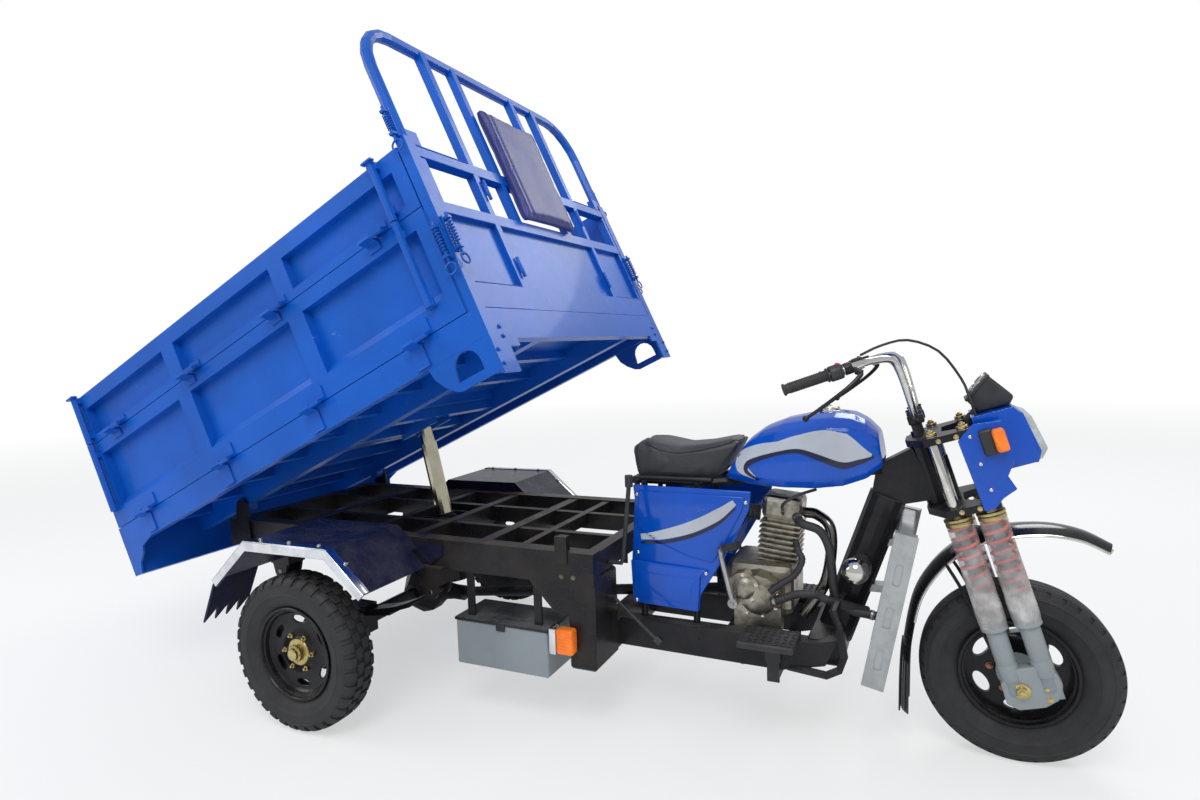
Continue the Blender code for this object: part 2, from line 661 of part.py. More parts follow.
def build_front_frame(body):
    foot_x = DOWN_TUBE_BOTTOM[0]
    head_low = steer_point(0, HEAD_BOTTOM)
    head_high = steer_point(0, HEAD_TOP)
    half = CRADLE_WIDTH / 2
    side = [prism(cradle_path(), "XZ", (-CRADLE_Y - half, -CRADLE_Y + half))]
    for x in SEAT_POST_X:
        side.append(seat_post(x, -1, SEAT_POST_RADIUS))
    backbone = [(1.06, -SEAT_TUBE_Y, SEAT_TUBE_Z), (1.31, -SEAT_TUBE_Y, SEAT_TUBE_Z), (1.41, -0.055, 0.845),
                (1.62, -0.055, 0.862), (STEER_X - 0.1386, -0.03, STEER_Z)]
    side.append(tube(backbone, SEAT_TUBE_RADIUS, 1))
    side.append(rod((1.075, -0.12, 0.70), (1.075, -0.12, 0.845), 0.010, 10))
    guard = [(foot_x - 0.125, -0.190, 0.262), (foot_x, -0.215, 0.262), (foot_x + 0.040, -0.215, 0.285),
             (foot_x + 0.055, -0.215, 0.33), (foot_x + 0.040, -0.213, 0.42),
             (foot_x + 0.020, -0.195, 0.465),
             (foot_x + 0.025, -0.15, 0.475), (foot_x + 0.045, 0.0, 0.475)]
    side.append(tube(guard, 0.013, 1))
    top = Vector((DOWN_TUBE_TOP[0], 0, DOWN_TUBE_TOP[1]))
    bottom = Vector((foot_x, 0, DOWN_TUBE_BOTTOM[1]))
    solids = both_sides(side)
    solids.append(rod(bottom, top, DOWN_TUBE_RADIUS, 14))
    solids.append(
        box(
            (foot_x - 0.065, foot_x + 0.045), (-CRADLE_Y, CRADLE_Y),
            (CRADLE_BOTTOM + 0.02, CRADLE_TOP + 0.01), 0.006
        )
    )
    solids.append(rod((1.06, -0.11, SEAT_TUBE_Z), (1.06, 0.11, SEAT_TUBE_Z), SEAT_TUBE_RADIUS, 12))
    solids.append(rod((head_low[0], 0, head_low[1]), (head_high[0], 0, head_high[1]), HEAD_TUBE_RADIUS, 12))
    gusset = [(STEER_X - 0.1786, STEER_Z - 0.135), (STEER_X - 0.1536, STEER_Z + 0.015),
              (head_high[0] - 0.02, head_high[1] - 0.015), (head_low[0] - 0.002, head_low[1] + 0.015),
              (STEER_X - 0.0986, STEER_Z - 0.115)]
    solids.append(prism(gusset, "XZ", (-0.032, 0.032)))
    mount_y = TUNNEL_HALF - TOUCH
    solids.append(rod((1.80, -mount_y, 0.890), (1.80, mount_y, 0.890), 0.012, 10))
    cap_at = top.lerp(bottom, 0.46)
    solids.append(rod((cap_at.x, -0.135, cap_at.z), (cap_at.x, 0.135, cap_at.z), 0.036, 10))
    solids.append(rod((1.43, 0, 0.175), (1.43, 0, 0.265), 0.040, 10))
    solids.append(box((1.36, 1.50), (-CRADLE_Y, CRADLE_Y), (CRADLE_BOTTOM + 0.004, CRADLE_BOTTOM + 0.03)))
    reach = steer_point(0, HEAD_BOTTOM - 0.02)
    over = steer_point(0, HEAD_TOP + 0.02)
    bore = rod((reach[0], 0, reach[1]), (over[0], 0, over[1]), STEM_RADIUS + STEM_PLAY, 12)
    fuse("front_frame", solids, BLACK_PAINT, body, [bore])


def cylinder_line():
    """The foot of the engine's cylinder and the way it leans."""
    return Vector((1.560, 0, 0.56)), Vector((0.10, 0, 0.99)).normalized()


def build_engine(body):
    """The power unit: crankcase, finned cylinder and head."""
    solids = [box((ENGINE_REAR_X, 1.625), (-0.115, 0.115), (0.400, 0.575), 0.025, 2)]
    base, up = cylinder_line()
    core = box((-0.046, 0.046), (-0.048, 0.048), (-0.030, 0.170))
    solids.append(moved(core, base, math.atan2(up.x, up.z)))
    for index in range(8):
        spot = base + up * (0.015 + index * 0.0185)
        fin = box((-0.068, 0.068), (-0.070, 0.070), (-0.0028, 0.0028), 0.0)
        solids.append(moved(fin, spot, math.atan2(up.x, up.z)))
    head = box((-HEAD_HALF, HEAD_HALF), (-0.072, 0.072), (0.158, 0.240), 0.018, 2)
    solids.append(moved(head, base, math.atan2(up.x, up.z)))
    solids.append(rod((1.515, -0.150, 0.470), (1.515, -0.10, 0.480), 0.080, 14))
    solids.append(rod((1.470, -0.168, 0.500), (1.470, -0.11, 0.500), 0.055, 12))
    solids.append(rod((1.475, 0.150, 0.485), (1.475, 0.10, 0.485), 0.075, 14))
    solids.append(rod((1.44, -0.198, 0.455), (1.44, -0.14, 0.455), 0.010, 8))
    kick = [
        (1.44, -0.192, 0.455), (1.425, -0.205, 0.53), (1.405, -0.212, 0.635), (1.425, -0.225, 0.652),
        (1.47, -0.245, 0.668)
    ]
    solids.append(tube(kick, 0.0085, 1))
    for sign in (-1, 1):
        solids.append(
            box((1.43, 1.59), (sign * 0.12 - 0.022, sign * 0.12 + 0.022), (CRADLE_TOP - 0.06, 0.435))
        )
    under = box((1.30, 1.70), (-0.30, 0.30), (0.10, CRADLE_TOP + TOUCH))
    fuse("engine", solids, ENGINE_METAL, body, [under])


def build_exhaust(body):
    base, up = cylinder_line()
    forward = Vector((up.z, 0, -up.x))
    port = base + up * 0.185 + forward * (HEAD_HALF + TOUCH)
    route = [port + forward * 0.012, port + forward * 0.04, (1.735, -0.03, 0.70), (1.742, -0.05, 0.62),
             (1.725, -0.07, 0.52), (1.68, -0.078, 0.44), (1.655, -0.078, 0.40)]
    fuse("exhaust", [tube([port] + smooth_route(route, 3), 0.017, 2)], DARK_STEEL, body)


def build_drive_shaft(body):
    """The shaft from the engine's output to the rear axle's pinion, with a joint at each end."""
    rear = Vector((PINION_NOSE_X + TOUCH, 0, TYRE_RADIUS))
    front = Vector((ENGINE_REAR_X - TOUCH, 0, ENGINE_OUTPUT_Z))
    along = (front - rear).normalized()
    level = Vector((SHAFT_JOINT_LENGTH, 0, 0))
    solids = [rod(rear, rear + level, SHAFT_JOINT_RADIUS, 14)]
    solids.append(rod(front - level, front, SHAFT_JOINT_RADIUS, 14))
    solids.append(rod(rear + along * 0.02, front - along * 0.02, SHAFT_RADIUS, 14))
    fuse("drive_shaft", solids, BLACK_PAINT, body)


def build_radiator(body):
    lean = math.radians(RADIATOR_LEAN_DEG)
    foot = Vector((DOWN_TUBE_BOTTOM[0] + RADIATOR_AHEAD, 0, DOWN_TUBE_BOTTOM[1] - 0.080))
    core = box((0.0, RADIATOR_THICKNESS), (-0.180, 0.180), (0.0, RADIATOR_HEIGHT), 0.004)
    side = box((-0.010, RADIATOR_THICKNESS + 0.012), (-0.200, -0.170), (-0.005, RADIATOR_HEIGHT + 0.004))
    solids = [moved(item, foot, lean) for item in (core, side, mirrored(side))]
    for z in (0.50, 0.66):
        front_x = foot.x + (z - foot.z) * math.tan(lean)
        solids.append(box((front_x - 0.075, front_x + 0.02), (-0.025, 0.025), (z - 0.012, z + 0.012)))
    tube_top = Vector((DOWN_TUBE_TOP[0], 0, DOWN_TUBE_TOP[1]))
    tube_bottom = Vector((DOWN_TUBE_BOTTOM[0], 0, DOWN_TUBE_BOTTOM[1]))
    trim = rod(tube_bottom, tube_top, DOWN_TUBE_RADIUS + TOUCH, 14)
    fuse("radiator", solids, RADIATOR_METAL, body, [trim])


def lofted(sections, shape):
    """A closed skin over slanted cross-sections, each a foot (x, z), a top (x, z) and a half width.

    The shape is one side of a cross-section from foot to top, in shares of the half width and height.
    """
    bm = bmesh.new()
    rings = []
    for foot, top, half in sections:
        spine = [(half * wide, foot[0] + (top[0] - foot[0]) * up, foot[1] + (top[1] - foot[1]) * up)
                 for wide, up in shape]
        ring = [(x, -y, z) for y, x, z in spine] + [(x, y, z) for y, x, z in reversed(spine)]
        rings.append([bm.verts.new(spot) for spot in ring])
    for back, front in zip(rings, rings[1:]):
        for index in range(len(back)):
            after = (index + 1) % len(back)
            bm.faces.new((back[index], back[after], front[after], front[index]))
    bm.faces.new(list(reversed(rings[0])))
    bm.faces.new(rings[-1])
    return scratch(bm)


def build_seat(body):
    low = SEAT_BOTTOM
    sections = (((1.064, low), (1.048, 0.972), 0.104), ((1.082, low), (1.070, 0.984), 0.126),
                ((1.13, low), (1.135, 0.982), 0.135), ((1.20, low), (1.235, 0.965), 0.135),
                ((1.27, low), (1.320, 0.974), 0.130), ((1.33, low + 0.002), (1.395, 0.990), 0.118),
                ((1.366, low + 0.006), (1.448, 1.000), 0.100))
    shape = ((0.90, 0.0), (1.0, 0.15), (1.0, 0.55), (0.97, 0.82), (0.86, 0.96), (0.45, 1.0))
    fuse("seat", [lofted(sections, shape)], BLACK_VINYL, body)


def build_tank(body):
    sections = (((1.392, 0.862), (1.478, 1.000), 0.098), ((1.430, 0.855), (1.530, 1.038), 0.120),
                ((1.500, 0.848), (1.600, 1.066), 0.142), ((1.600, 0.846), (1.680, 1.083), 0.155),
                ((1.700, 0.848), (1.755, 1.091), 0.158), ((1.790, 0.860), (1.815, 1.086), 0.152),
                ((1.860, 0.885), (1.855, 1.066), 0.132), ((1.908, 0.922), (1.892, 1.030), 0.102))
    shape = ((0.82, 0.0), (0.95, 0.12), (1.0, 0.38), (0.97, 0.62), (0.86, 0.82), (0.64, 0.94), (0.30, 1.0))
    tunnel = box((1.30, 2.0), (-TUNNEL_HALF, TUNNEL_HALF), (0.80, TUNNEL_TOP))
    fuse("fuel_tank", [lofted(sections, shape)], BLUE_PAINT, body, [tunnel])


def build_side_cover(body, name, sign):
    upper = [(1.085, 0.840), (1.505, 0.838), (1.498, 0.775), (1.440, 0.655), (1.375, 0.545), (1.325, 0.465),
             (1.320, 0.410), (1.080, 0.418), (1.074, 0.575), (1.090, 0.790)]
    outer = -COVER_OUTER_Y
    solids = [prism(upper, "XZ", (outer, outer + COVER_SHEET))]
    step = [(1.073, 0.572), (1.355, 0.560), (1.330, 0.535), (1.319, 0.409), (1.079, 0.417)]
    solids.append(prism(step, "XZ", (outer - 0.012, outer + 0.004)))
    for x in SEAT_POST_X:
        solids.append(rod((x, outer + 0.004, 0.66), (x, -0.138, 0.66), 0.010, 10))
    if sign > 0:
        solids = [mirrored(item) for item in solids]
    posts = [seat_post(x, sign, SEAT_POST_RADIUS + TOUCH) for x in SEAT_POST_X]
    fuse(name, solids, BLUE_PAINT, body, posts)


def build_controls(body):
    pegs = []
    for sign in (-1, 1):
        pegs.append(
            box((1.48, 1.66), (sign * 0.245 - 0.075, sign * 0.245 + 0.075),
                (CRADLE_TOP + TOUCH, CRADLE_TOP + 0.022), 0.004)
        )
        pegs.append(
            box((1.55, 1.60), (sign * 0.2085 - 0.006, sign * 0.2085 + 0.006), (0.28, CRADLE_TOP + 0.012))
        )
    pegs.append(box((1.56, 1.59), (-0.205, 0.205), (CRADLE_BOTTOM - 0.045, CRADLE_BOTTOM - 0.010)))
    for sign in (-1, 1):
        pegs.append(
            box((1.555, 1.595), (sign * 0.207 - 0.005, sign * 0.207 + 0.005), (CRADLE_BOTTOM - 0.045, 0.30))
        )
    fuse("foot_board", pegs, BLACK_RUBBER, body)
    lever_foot = RAIL_FRONT_X + TOUCH
    lever = [(lever_foot, -0.290, 0.585), (lever_foot + 0.045, -0.290, 0.585),
    (lever_foot + 0.052, -0.288, 0.60),
             (lever_foot + 0.066, -0.250, 0.855)]
    gear = [tube(lever, 0.008)]
    tip = Vector(lever[-1])
    gear.append(rod(tip - Vector((0, 0, 0.01)), tip + Vector((0, 0, 0.03)), 0.014, 14))
    fuse("gear_lever", gear, BLACK_RUBBER, body)
    brake = [rod((lever_foot, -0.31, 0.468), (lever_foot + 0.03, -0.31, 0.468), 0.012, 12)]
    brake.append(rod((lever_foot + 0.025, -0.31, 0.466), (1.205, -0.30, 0.335), 0.006, 10))
    brake.append(rod((1.198, -0.30, 0.341), (1.216, -0.299, 0.326), 0.013, 12))
    fuse("hand_brake", brake, DARK_STEEL, body)


def build_tyre(name, group, lugs):
    half = TYRE_WIDTH / 2
    radius = TYRE_RADIUS - (LUG_HEIGHT if lugs else 0.0)
    bead = RIM_SEAT + 2 * TOUCH
    profile = [(bead, -0.034), (RIM_RADIUS + 0.004, -0.044), (RIM_RADIUS + 0.030, -half + 0.002),
    (radius - 0.050, -half),
               (radius - 0.018, -half + 0.008), (radius - 0.002, -half + 0.024), (radius, -0.004)]
    profile += [(r, -y) for r, y in reversed(profile)]
    count = WHEEL_SEGMENTS
    body = turned(profile, count)
    if lugs:
        bm = bmesh.new()
        bm.from_mesh(body.data)
        bmesh.ops.recalc_face_normals(bm, faces=bm.faces)
        for sign in (-1, 1):
            chosen = []
            for face in bm.faces:
                centre = face.calc_center_median()
                reach = math.hypot(centre.x, centre.z)
                if reach < radius - 0.02 or centre.y * sign < 0.002:
                    continue
                if reach > radius - 0.012:
                    turn = math.atan2(centre.z, centre.x) / math.tau * count
                    if int(math.floor(turn + (0.0 if sign < 0 else 1.0))) % 2 == 0:
                        chosen.append(face)
            made = bmesh.ops.extrude_face_region(bm, geom=chosen)
            raised = [item for item in made["geom"] if isinstance(item, bmesh.types.BMVert)]
            for vert in raised:
                out = Vector((vert.co.x, 0, vert.co.z)).normalized()
                low = math.hypot(vert.co.x, vert.co.z) < radius - 0.001
                vert.co += out * LUG_HEIGHT * (0.55 if low else 1.0)
                if low:
                    vert.co.y += sign * 0.004
            bmesh.ops.delete(bm, geom=chosen, context="FACES")
        bm.to_mesh(body.data)
        bm.free()
    fuse(name, [body], TYRE_RUBBER, group)


def disc_holes(y_limits):
    holes = []
    for index in range(DISC_HOLES):
        angle = math.tau * (index + 0.5) / DISC_HOLES
        outline = []
        for step in range(8):
            t = math.tau * (step + 0.5) / 8
            outline.append((DISC_HOLE_CIRCLE + DISC_HOLE_SHORT * math.cos(t), DISC_HOLE_LONG * math.sin(t)))
        hole = prism(outline, "XZ", y_limits)
        holes.append(moved(hole, turn=angle))
    return holes


def wheel_profile(front, back):
    """A whole wheel: the hub and disc faces given as (radius, y), joined around the rim."""
    half = RIM_WIDTH / 2
    inner = RIM_SEAT - RIM_WALL
    rim = [(inner, half - 0.034), (RIM_RADIUS - 0.018, half), (RIM_RADIUS, half), (RIM_SEAT, half - 0.013),
           (RIM_SEAT, 0.013 - half), (RIM_RADIUS, -half), (RIM_RADIUS - 0.018, -half),
           (inner, 0.034 - half)]
    return front + rim + back


def build_rear_wheel(side, group, sign):
    """A wheel whose outer face looks along sign * Y."""
    build_tyre("tyre_rear_" + side, group, True)
    offset = REAR_DISC_OFFSET
    inner = RIM_SEAT - RIM_WALL
    hub_back = -REAR_HUB_BACK + TOUCH
    front = [(0.0, offset + 0.036), (0.022, offset + 0.036), (0.026, offset + 0.012),
    (REAR_HUB_RADIUS, offset + 0.010),
             (0.085, offset + 0.004), (inner, offset + 0.003)]
    back = [(inner, offset - 0.003), (0.085, offset - 0.002), (DRUM_RADIUS, offset - 0.030),
    (DRUM_RADIUS, hub_back),
            (0.0, hub_back)]
    wheel = turned(wheel_profile(front, back), WHEEL_SEGMENTS, closed=False)
    holes = disc_holes((offset - 0.014, offset + 0.02))
    if sign < 0:
        wheel = moved(wheel, turn=math.pi, axis="X")
        holes = [moved(item, turn=math.pi, axis="X") for item in holes]
    fuse("rim_rear_" + side, [wheel], BLACK_RIM, group, holes)


def build_front_wheel(group):
    build_tyre("tyre_front", group, False)
    inner = RIM_SEAT - RIM_WALL
    reach = FRONT_HUB_HALF
    front = [(0.0, reach), (0.030, reach), (0.036, 0.062), (0.088, 0.056), (0.088, 0.012), (inner, 0.003)]
    back = [(inner, -0.003), (FRONT_HUB_RADIUS, -0.006), (FRONT_HUB_RADIUS, -0.024), (0.028, -0.032),
    (0.026, -reach),
            (0.0, -reach)]
    wheel = turned(wheel_profile(front, back), WHEEL_SEGMENTS, closed=False)
    fuse("rim_front", [wheel], BLACK_RIM, group, disc_holes((-0.014, 0.014)))


def hinge_half(u, w, sign, half, reach):
    """Half of a strap hinge: half 0 is on the fixed piece, half 1 on the leaf that swings.

    Its side view is the barrel with a plate that runs a given reach up or down the board.
    """
    start = u - HINGE_LENGTH / 2 + half * HINGE_LENGTH / 2
    end = start + HINGE_LENGTH / 2 - TOUCH
    way = math.copysign(1.0, reach)
    foot = HINGE_RADIUS * math.sin(math.radians(10))
    outline = [(-HINGE_RADIUS * math.cos(math.radians(10)), way * foot)]
    outline += [(a, way * b) for a, b in arc((0.0, 0.0), HINGE_RADIUS, 225, 380, 3)]
    outline += [(-SIDE_HINGE_OUT + 0.005, way * 0.014), (-SIDE_HINGE_OUT + 0.005, reach),
                (-SIDE_HINGE_OUT - 0.003, reach), (-SIDE_HINGE_OUT - 0.003, way * 0.004)]
    centre = BED_HALF_WIDTH + SIDE_HINGE_OUT
    return prism([(sign * (centre + y), w + z) for y, z in outline], "YZ", (start, end))


def panel_frame(limits_w, bays, sign):
    """A pressed side board: a flat frame around recessed bays."""
    face = sign * BED_HALF_WIDTH
    back = sign * (BED_HALF_WIDTH - PANEL_THICKNESS)
    board = box((PANEL_REAR_U, PANEL_FRONT_U), sorted((face, back)), limits_w)
    cuts = []
    for low_u, high_u, low_w, high_w, lip in bays:
        deep = sign * (BED_HALF_WIDTH - PANEL_THICKNESS + PANEL_SKIN)
        out = sign * (BED_HALF_WIDTH + 0.01)
        slope = lip * (PANEL_THICKNESS - PANEL_SKIN + 0.01) / (PANEL_THICKNESS - PANEL_SKIN)
        outline = [(deep, low_w + lip), (deep, high_w), (out, high_w), (out, low_w + lip - slope)]
        cuts.append(prism(outline, "YZ", (low_u, high_u)))
    return board, cuts


def bay_limits():
    half = STIFFENER_WIDTH / 2
    return ((0.070, STIFFENERS_U[0] - half), (STIFFENERS_U[0] + half, STIFFENERS_U[1] - half),
            (STIFFENERS_U[1] + half, 1.875))


def lock_rod(u, low, high, sign):
    y = sign * (BED_HALF_WIDTH + ROD_RADIUS + 0.003)
    return rod((u, y, low), (u, y, high), ROD_RADIUS, 8)


def rod_clip(u, w, sign):
    y = sorted((sign * (BED_HALF_WIDTH - 0.003), sign * (BED_HALF_WIDTH + 0.018)))
    return box((u - 0.018, u + 0.018), y, (w - 0.012, w + 0.012))


def build_side(bed, side, sign):
    hinge_y = sign * (BED_HALF_WIDTH + SIDE_HINGE_OUT)
    lower = Group("side_lower_" + side, bed, (PANEL_REAR_U, hinge_y, SILL_TOP))
    low = SILL_TOP + PANEL_GAP
    high = MID_SEAM - PANEL_GAP / 2
    bays = [(a, b, 0.290, 0.522, 0.032) for a, b in bay_limits()]
    board, cuts = panel_frame((low, high), bays, sign)
    solids = [board]
    for u in HINGE_U:
        solids.append(hinge_half(u, SILL_TOP, sign, 1, 0.055))
        solids.append(hinge_half(u, MID_SEAM, sign, 0, -0.035))
    for u in ROD_U:
        solids.append(lock_rod(u, ROD_BOTTOM, MID_SEAM - 0.002, sign))
        solids.append(rod_clip(u, ROD_BOTTOM + 0.012, sign))
        solids.append(rod_clip(u, MID_SEAM - 0.05, sign))
    fuse("side_lower_" + side, solids, BLUE_PAINT, lower, cuts)
    upper = Group("side_upper_" + side, lower, (PANEL_REAR_U, hinge_y, MID_SEAM))
    low = MID_SEAM + PANEL_GAP / 2
    bays = [(a, b, low + 0.030, 0.722, 0.0) for a, b in bay_limits()]
    board, cuts = panel_frame((low, SIDE_TOP), bays, sign)
    solids = [board]
    for u in HINGE_U:
        solids.append(hinge_half(u, MID_SEAM, sign, 1, 0.035))
    for u in ROD_U:
        solids.append(lock_rod(u, MID_SEAM + 0.002, ROD_TOP, sign))
        solids.append(rod_clip(u, ROD_TOP - 0.012, sign))
        solids.append(rod_clip(u, MID_SEAM + 0.035, sign))
    fuse("side_upper_" + side, solids, BLUE_PAINT, upper, cuts)


GATE_HINGE_U = -0.012
GATE_HINGE_W = SILL_TOP - 0.004
GATE_HALF = BED_HALF_WIDTH - PANEL_THICKNESS - RUNNING
GATE_HINGE_Y = (-0.48, 0.0, 0.48)


def build_tailgate(bed):
    gate = Group("tailgate", bed, (GATE_HINGE_U, 0.0, GATE_HINGE_W))
    rear = 0.004
    front = rear + GATE_THICKNESS
    low = SILL_TOP + PANEL_GAP
    solids = [box((rear, front), (-GATE_HALF, GATE_HALF), (low, GATE_TOP))]
    cuts = []
    bay = (2 * GATE_HALF - 0.05 * 4) / 3
    for index in range(3):
        start = -GATE_HALF + 0.05 + index * (bay + 0.05)
        for limits in ((0.270, 0.520), (0.600, 0.725)):
            cuts.append(box((rear - 0.01, front - PANEL_SKIN), (start, start + bay), limits))
    for y in GATE_HINGE_Y:
        solids.append(
            rod(
                (GATE_HINGE_U, y + TOUCH, GATE_HINGE_W), (GATE_HINGE_U, y + 0.05, GATE_HINGE_W),
                HINGE_RADIUS, 8
            )
        )
        strap = [(GATE_HINGE_U - 0.003, GATE_HINGE_W), (GATE_HINGE_U - 0.003, GATE_HINGE_W + 0.060),
                 (rear + 0.002, GATE_HINGE_W + 0.055), (rear + 0.002, GATE_HINGE_W + 0.020),
                 (GATE_HINGE_U + 0.004, GATE_HINGE_W + 0.012), (GATE_HINGE_U + 0.004, GATE_HINGE_W)]
        solids.append(prism(strap, "XZ", (y + 2 * TOUCH, y + 0.0497)))
    fuse("tailgate", solids, BLUE_PAINT, gate, cuts)


def build_bed_frame(bed):
    half = BED_HALF_WIDTH
    end = BED_LENGTH
    floor_low = FLOOR_TOP - FLOOR_SHEET
    side = [box((0.0, end - 0.004), (-half, -half + SILL_WIDTH), (SILL_BOTTOM, SILL_TOP))]
    side.append(
        box((0.02, end - 0.03), (-RUNNER_OUTER_Y, -RUNNER_OUTER_Y + RUNNER_WIDTH),
            (RUNNER_BOTTOM, floor_low + 0.002))
    )
    corner = [(0.0002, REAR_BEAM_BOTTOM), (0.045, REAR_BEAM_BOTTOM), (0.062, 0.050), (0.098, 0.080),
    (0.108, 0.105),
              (0.130, 0.112), (0.190, 0.128), (0.190, SILL_TOP - 0.01), (0.0002, SILL_TOP - 0.01)]
    side.append(prism(corner, "XZ", (-half + 0.0002, -half + 0.008)))
    post_in = half - 0.045
    side.append(box((POST_REAR_U, end), (-half + 0.0003, -post_in), (0.012, SIDE_TOP + 0.02), 0.0))
    side.append(box((end - 0.008, end - 0.0002), (-half + 0.0005, -half + 0.092), (0.0, 0.105)))
    side.append(box((end - 0.008, end - 0.0002), (-half + 0.0005, -half + 0.150), (0.085, 0.150)))
    hook = [(1.714, 0.130), (1.724, 0.085), (1.748, 0.050), (1.778, 0.022), (1.800, 0.012),
    (end - 0.02, 0.012),
            (end - 0.02, 0.130)]
    side.append(prism(hook, "XZ", (-half + 0.0006, -half + 0.008)))
    solids = both_sides(side)
    window = [(1.800, 0.040), (1.905, 0.040), (1.905, 0.070)] + arc((1.855, 0.070), 0.050, 20, 160, 6)
    window_cut = prism(window, "XZ", (-half - 0.01, -half + 0.02))
    cuts = [window_cut, mirrored(window_cut)]
    solids.append(box((0.006, end - 0.006), (-half + 0.01, half - 0.01), (floor_low, FLOOR_TOP)))
    solids.append(
        box((0.0, 0.030), (-half + 0.004, half - 0.004), (REAR_BEAM_BOTTOM + 0.0004, SILL_TOP - 0.012))
    )
    solids.append(
        box((end - 0.034, end - 0.0004), (-half + 0.004, half - 0.004), (0.111, SILL_TOP - 0.002))
    )
    count = 9
    for index in range(count):
        u = 0.12 + index * (end - 0.26) / (count - 1)
        solids.append(
            box((u, u + 0.030), (-half + 0.01, half - 0.01), (floor_low - 0.035, floor_low + 0.003))
        )
    for u in (ROD_EYE_U - 0.11, ROD_EYE_U + 0.085):
        solids.append(
            box((u, u + 0.035), (-RUNNER_OUTER_Y + 0.01, RUNNER_OUTER_Y - 0.01), (0.128, floor_low + 0.002))
        )
    for sign in (-1, 1):
        ear = sorted((sign * EAR_INNER_Y, sign * (EAR_INNER_Y + 0.010)))
        solids.append(
            box((ROD_EYE_U - 0.10, ROD_EYE_U + 0.10), ear, (ROD_EYE_W - 0.045, floor_low + 0.004))
        )
        pin = sorted((sign * (RUNNER_OUTER_Y - 0.004), sign * (RAIL_OUTER_Y - 0.0005)))
        solids.append(rod((PIVOT_U, pin[0], PIVOT_W), (PIVOT_U, pin[1], PIVOT_W), 0.014, 16))
        web = sorted((sign * (RUNNER_OUTER_Y - RUNNER_WIDTH + 0.004), sign * (RUNNER_OUTER_Y - 0.0004)))
        solids.append(rod((PIVOT_U, web[0], PIVOT_W), (PIVOT_U, web[1], PIVOT_W), 0.026, 16))
        for u in HINGE_U:
            solids.append(hinge_half(u, SILL_TOP, sign, 0, -0.080))
    for y in GATE_HINGE_Y:
        solids.append(
            rod((GATE_HINGE_U, y - 0.05, GATE_HINGE_W), (GATE_HINGE_U, y, GATE_HINGE_W), HINGE_RADIUS, 10)
        )
        solids.append(
            box((GATE_HINGE_U, 0.004), (y - 0.05, y), (GATE_HINGE_W - 0.03, GATE_HINGE_W - 0.001))
        )
    clear = box(
        (ROD_EYE_U - 0.073, ROD_EYE_U + 0.083), (-EAR_INNER_Y, EAR_INNER_Y), (0.05, floor_low - 0.001)
    )
    fuse("bed_frame", solids, NAVY_PAINT, bed, cuts + [clear])


def build_headboard(bed):
    """The front board: panels below, two rails, four posts and a bent top tube."""
    front = BED_LENGTH
    back = front - 0.036
    low = SILL_TOP
    inner = BED_HALF_WIDTH - 0.045 - TOUCH
    skin_back = back + 0.012
    solids = [box((skin_back, skin_back + 0.006), (-inner + 0.0, inner - 0.0), (low, RAIL_TWO_W))]
    solids.append(box((back, front - 0.001), (-inner, inner), (low, 0.300)))
    half_rail = RACK_RAIL_HEIGHT / 2
    for w in (RAIL_ONE_W, RAIL_TWO_W):
        solids.append(box((back + 0.001, front - 0.0015), (-inner, inner), (w - half_rail, w + half_rail)))
    half = RACK_POST_WIDTH / 2
    tube_u = front - RACK_TUBE_RADIUS - 0.001
    top = RACK_TOP - RACK_TUBE_RADIUS
    reach = BED_HALF_WIDTH - RACK_TUBE_RADIUS - 0.002
    for sign in (-1, 1):
        y = sign * RACK_POST_OUTER_Y
        solids.append(box((back + 0.002, front - 0.002), (y - half, y + half), (low, top)))
        y = sign * RACK_POST_INNER_Y
        solids.append(box((back + 0.003, front - 0.003), (y - half, y + half), (RAIL_TWO_W, top)))
        y = sign * (inner - 0.014)
        solids.append(box((back + 0.002, front - 0.002), (y - 0.012, y + 0.012), (low, RAIL_ONE_W)))
    foot = SIDE_TOP + 0.02 + TOUCH
    arch = [(tube_u, -reach, foot)]
    corner = RACK_CORNER_RADIUS
    for y, w in arc((-reach + corner, top - corner), corner, 180, 90, 5):
        arch.append((tube_u, y, w))
    for y, w in arc((reach - corner, top - corner), corner, 90, 0, 5):
        arch.append((tube_u, y, w))
    arch.append((tube_u, reach, foot))
    solids.append(tube(arch, RACK_TUBE_RADIUS, 2))
    link = RAIL_ONE_W + half_rail - 0.001
    for sign in (-1, 1):
        y = sorted((sign * (inner - 0.02), sign * (BED_HALF_WIDTH - 0.012)))
        solids.append(box((back + 0.004, front - 0.004), y, (foot, foot + 0.03)))
        y = sorted((sign * (inner - 0.04), sign * (inner - 0.001)))
        solids.append(box((back + 0.004, front - 0.004), y, (link - 0.01, foot + 0.03)))
    fuse("headboard", solids, BLUE_PAINT, bed)
    pad_rear = front - 0.0015 + TOUCH
    pad = box(
        (pad_rear, pad_rear + PAD_THICKNESS), (-PAD_HALF_WIDTH, PAD_HALF_WIDTH), (PAD_BOTTOM_W, PAD_TOP_W),
        0.012, 2
    )
    fuse("backrest_pad", [pad], NAVY_VINYL, bed)


def hollow_tube(radius, bore, low, high, floor=None):
    """An upright tube of (radius, height) walls, closed below when it has a floor."""
    if floor is None:
        profile = [(bore, low), (radius, low), (radius, high), (bore, high)]
        return turned(profile, 14)
    profile = [
        (0.0, low), (radius, low), (radius, high), (bore, high), (bore, low + floor), (0.0, low + floor)
    ]
    return turned(profile, 14, closed=False)


def upright(item):
    """Stand a turned solid on end, so that its Y axis becomes Z."""
    return moved(item, turn=math.pi / 2, axis="X")


